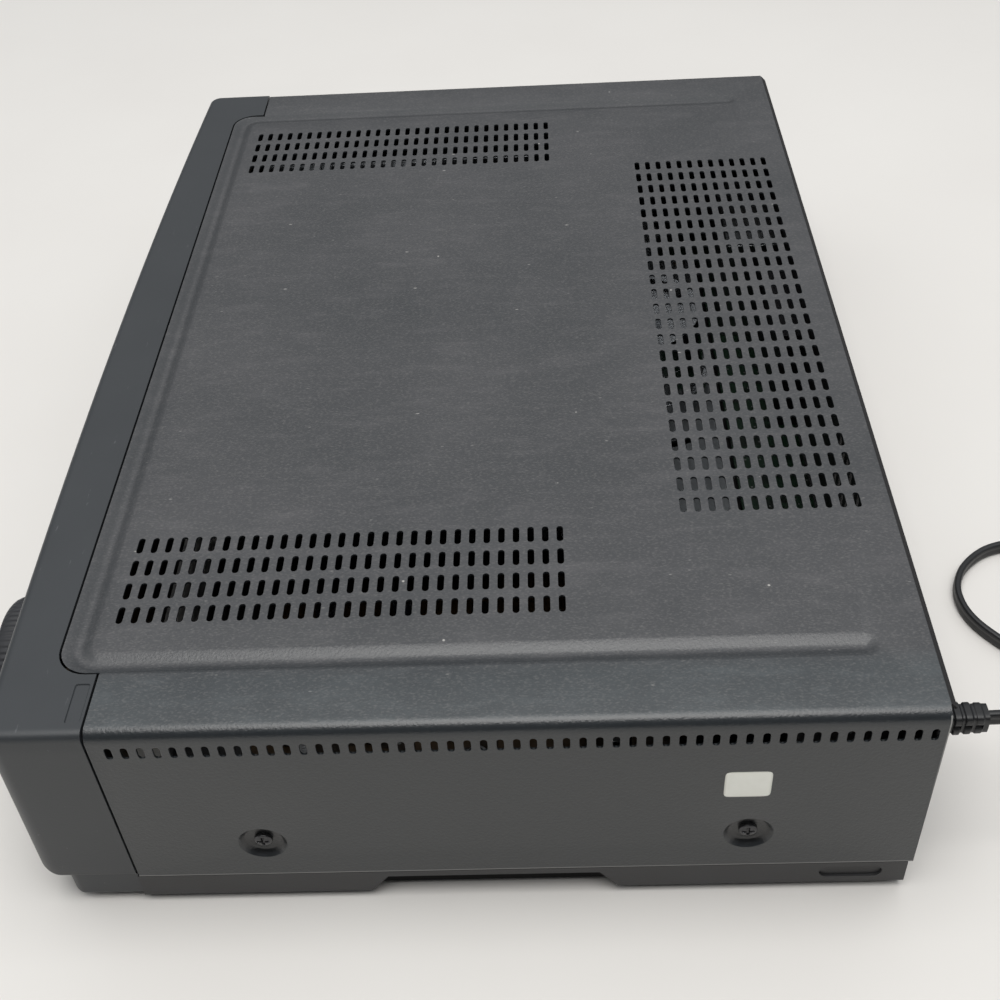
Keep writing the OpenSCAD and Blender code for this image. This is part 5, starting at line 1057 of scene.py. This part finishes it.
ground_rubber = mottled(
    "ground_roller_rubber", "#1b1b1c", "#262627", 400, (0.5, 0.7), (2500, 0.00004), 0.0, (1, 1, 0.1))
dressed("pinch_roller", ground_rubber, 0.0003)

# Reels, gears and arms. Moulded acetal: waxy, slightly see-through, greyed by grease and tape dust.
white_acetal = mottled("natural_acetal", "#bdbbb0", "#d8d6cb", 70, (0.3, 0.42), (900, 0.00005))
yellow_acetal = mottled("ochre_acetal", "#a58f35", "#bda84c", 70, (0.3, 0.42), (900, 0.00005))
for acetal in (white_acetal, yellow_acetal):
    connect(acetal.node_tree.nodes["Principled BSDF"], {
        "Subsurface Weight": 0.12, "Subsurface Radius": (0.002, 0.0018, 0.0014)})
for node in ("supply_reel", "takeup_reel", "idler_wheel", "cam_gear", "motor_pinion"):
    dressed(node, white_acetal, 0.0002)
dressed("idler_arm", yellow_acetal, 0.0003)
motor_can = mottled(
    "drawn_zinc_motor_can", "#808386", "#a6a9ab", 120, (0.25, 0.45), (1400, 0.00004), 1.0, (1, 1, 0.12))
dressed("loading_motor", motor_can, 0.0008)


# Boards. Laminates etched with copper tracks under lacquer: green glass-fibre for the signal board,
# brown paper laminate for power and front. Tracks run square, with a tinned joint where they end.
def etched_board(name, base, track, joint, cell):
    """Tracks as the edges between square cells of a Chebychev cell pattern; joints as dots at a finer
    pattern's cell points. cell is how far apart the tracks are, in metres."""
    material, tree, surface, spot = finish_named(name)
    flat_on = add(tree, "Mapping", {"Vector": spot, "Scale": (1, 1, 0.0001)})
    cells = add(tree, "TexVoronoi", {"Vector": flat_on, "Scale": 1 / cell, "Randomness": 0.85},
                distance="CHEBYCHEV")
    across = add(tree, "MapRange", {"Value": cells.outputs["Distance"], "From": (0.33, 0.36)})
    dots = add(tree, "TexVoronoi", {"Vector": flat_on, "Scale": 2.4 / cell, "Randomness": 0.5})
    dot = add(tree, "MapRange", {"Value": dots.outputs["Distance"], "From": (0.13, 0.17), "To": (1, 0)})
    cloud = add(tree, "TexNoise", {"Vector": spot, "Scale": 50, "Detail": 5})
    base_tone = add(tree, "Mix", {"Factor": cloud, "A": base[0], "B": base[1]})
    tracks = add(tree, "Mix", {"Factor": across, "A": base_tone, "B": track})
    with_dots = add(tree, "Mix", {"Factor": dot, "A": tracks, "B": joint})
    gloss = add(tree, "MapRange", {"Value": cloud, "To": (0.28, 0.48)})
    rise = add(tree, "Math", {0: across, 1: dot}, operation="MAXIMUM")
    relief = add(tree, "Bump", {"Height": rise, "Strength": 0.4, "Distance": 0.0001})
    connect(surface, {"Base Color": with_dots, "Roughness": gloss, "Normal": relief, "Metallic": dot})
    return material


green = etched_board("green_lacquered_laminate", ("#0b1710", "#101f16"), "#16301f", "#8f9190", 0.009)
brown = etched_board("brown_paper_laminate", ("#21180d", "#2b2012"), "#43321c", "#8f9190", 0.012)
dressed("main_board", green, 0.0002)
dressed("power_board", brown, 0.0002)
dressed("front_board", brown, 0.0002)

# Board parts. Electrolytic capacitors in dark shrink sleeves with bare aluminium tops, a ferrite
# transformer taped round its windings, an extruded heat sink and the tuner's tinned screening can.
sleeve, tree, surface, spot = finish_named("shrink_sleeved_capacitors")
facing = add(tree, "SeparateXYZ", {"Vector": add(tree, "NewGeometry").outputs["Normal"]})
topside = add(tree, "MapRange", {"Value": facing.outputs["Z"], "From": (0.8, 0.9)})
stripe = add(tree, "MapRange", {"Value": facing.outputs["Y"], "From": (0.86, 0.88)})
speck = add(tree, "TexNoise", {"Vector": spot, "Scale": 600, "Detail": 4})
film = add(tree, "Mix", {"Factor": speck, "A": "#141b2a", "B": "#1e2738"})
film = add(tree, "Mix", {"Factor": stripe, "A": film, "B": "#74777c"})
film = add(tree, "Mix", {"Factor": topside, "A": film, "B": "#9b9c9d"})
rough = add(tree, "MapRange", {"Value": speck, "To": (0.2, 0.4)})
connect(surface, {"Base Color": film, "Roughness": rough, "Metallic": topside})
dressed("capacitors", sleeve, 0.0005)

ferrite, tree, surface, spot = finish_named("taped_ferrite_transformer")
core_lo, core_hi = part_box("transformer")
parts = add(tree, "SeparateXYZ", {"Vector": spot})
# 1 on the core, 0 on the tape outside it
core_mid = (core_lo[1] + core_hi[1]) / 2
core = add(tree, "Math", {0: parts.outputs["Y"], 1: core_mid, 2: 0.01705}, operation="COMPARE")
speck = add(tree, "TexNoise", {"Vector": spot, "Scale": 700, "Detail": 4})
layers = add(tree, "TexWave", {"Vector": spot, "Scale": wave_unit / 0.003, "Distortion": 1.0},
             bands_direction="Z")
dull = add(tree, "Mix", {"Factor": speck, "A": "#2c2c2d", "B": "#3c3c3d"})
band = add(tree, "Mix", {"Factor": layers.outputs["Fac"], "A": "#8f6a1e", "B": "#ab8430"})
shade = add(tree, "Mix", {"Factor": core, "A": band, "B": dull})
rough = add(tree, "MapRange", {"Value": core, "To": (0.25, 0.55)})
skin = add(tree, "Bump", {"Height": speck, "Strength": 0.3, "Distance": 0.0001})
connect(surface, {"Base Color": shade, "Roughness": rough, "Normal": skin})
dressed("transformer", ferrite, 0.0006)

fins = mottled(
    "extruded_aluminium", "#8c9093", "#a9adb0", 60, (0.28, 0.45), (1500, 0.00004), 1.0, (6, 6, 0.3))
dressed("heat_sink", fins, 0.0002)
tinned = mottled("tinned_screening_sheet", "#8d9092", "#b0b3b4", 35, (0.25, 0.42), (900, 0.00006), 1.0)
dressed("tuner_can", tinned, 0.0003)


# Table and light. A pale matt table under one big soft light overhead, in a studio that is brightest
# above and dark where the camera stands.
table_top, tree, surface, spot = finish_named("pale_matt_table")
mottle = add(tree, "TexNoise", {"Vector": spot, "Scale": 7, "Detail": 6})
tint = add(tree, "Mix", {"Factor": mottle, "A": "#dddad6", "B": "#e4e2de"})
connect(surface, {"Base Color": tint, "Roughness": 0.75})
half = 6.0
floor = solid_mesh("table", [(-half, -half, 0), (half, -half, 0), (half, half, 0), (-half, half, 0)],
                   [(0, 1, 2, 3)], table_top)

bpy.context.scene.view_settings.view_transform = "Standard"
sky = bpy.data.worlds.new("studio")
bpy.context.scene.world = sky
sky.use_nodes = True
tree = sky.node_tree
way = add(tree, "TexCoord").outputs["Generated"]
up = add(tree, "SeparateXYZ", {"Vector": way})
height = add(tree, "MapRange", {"Value": up.outputs["Z"], "From": (0.1, 0.95)},
             interpolation_type="SMOOTHSTEP")
glow = add(tree, "Mix", {"Factor": height, "A": "#5c5e60", "B": "#f0f2f4"})
# the studio is dark on the side where the camera stands
toward = add(tree, "VectorMath", {0: way, 1: (0.93, 0.0, 0.37)}, operation="DOT_PRODUCT")
dim = add(tree, "MapRange", {"Value": toward, "From": (0.5, 0.85), "To": (0.0, 0.95)},
          interpolation_type="SMOOTHSTEP")
glow = add(tree, "Mix", {"Factor": dim, "A": glow, "B": "#141415"})
connect(tree.nodes["Background"], {"Color": glow, "Strength": 1.06})

lamp = bpy.data.lights.new("overhead_softbox", "AREA")
lamp.shape, lamp.size, lamp.energy = "SQUARE", 1.6, 34.0
lamp.color = (1.0, 0.985, 0.965)
softbox = bpy.data.objects.new("overhead_softbox", lamp)
softbox.location = (0.45, 0.05, 2.1)
softbox.rotation_euler = Vector(softbox.location).to_track_quat("Z", "Y").to_euler()
bpy.context.scene.collection.objects.link(softbox)
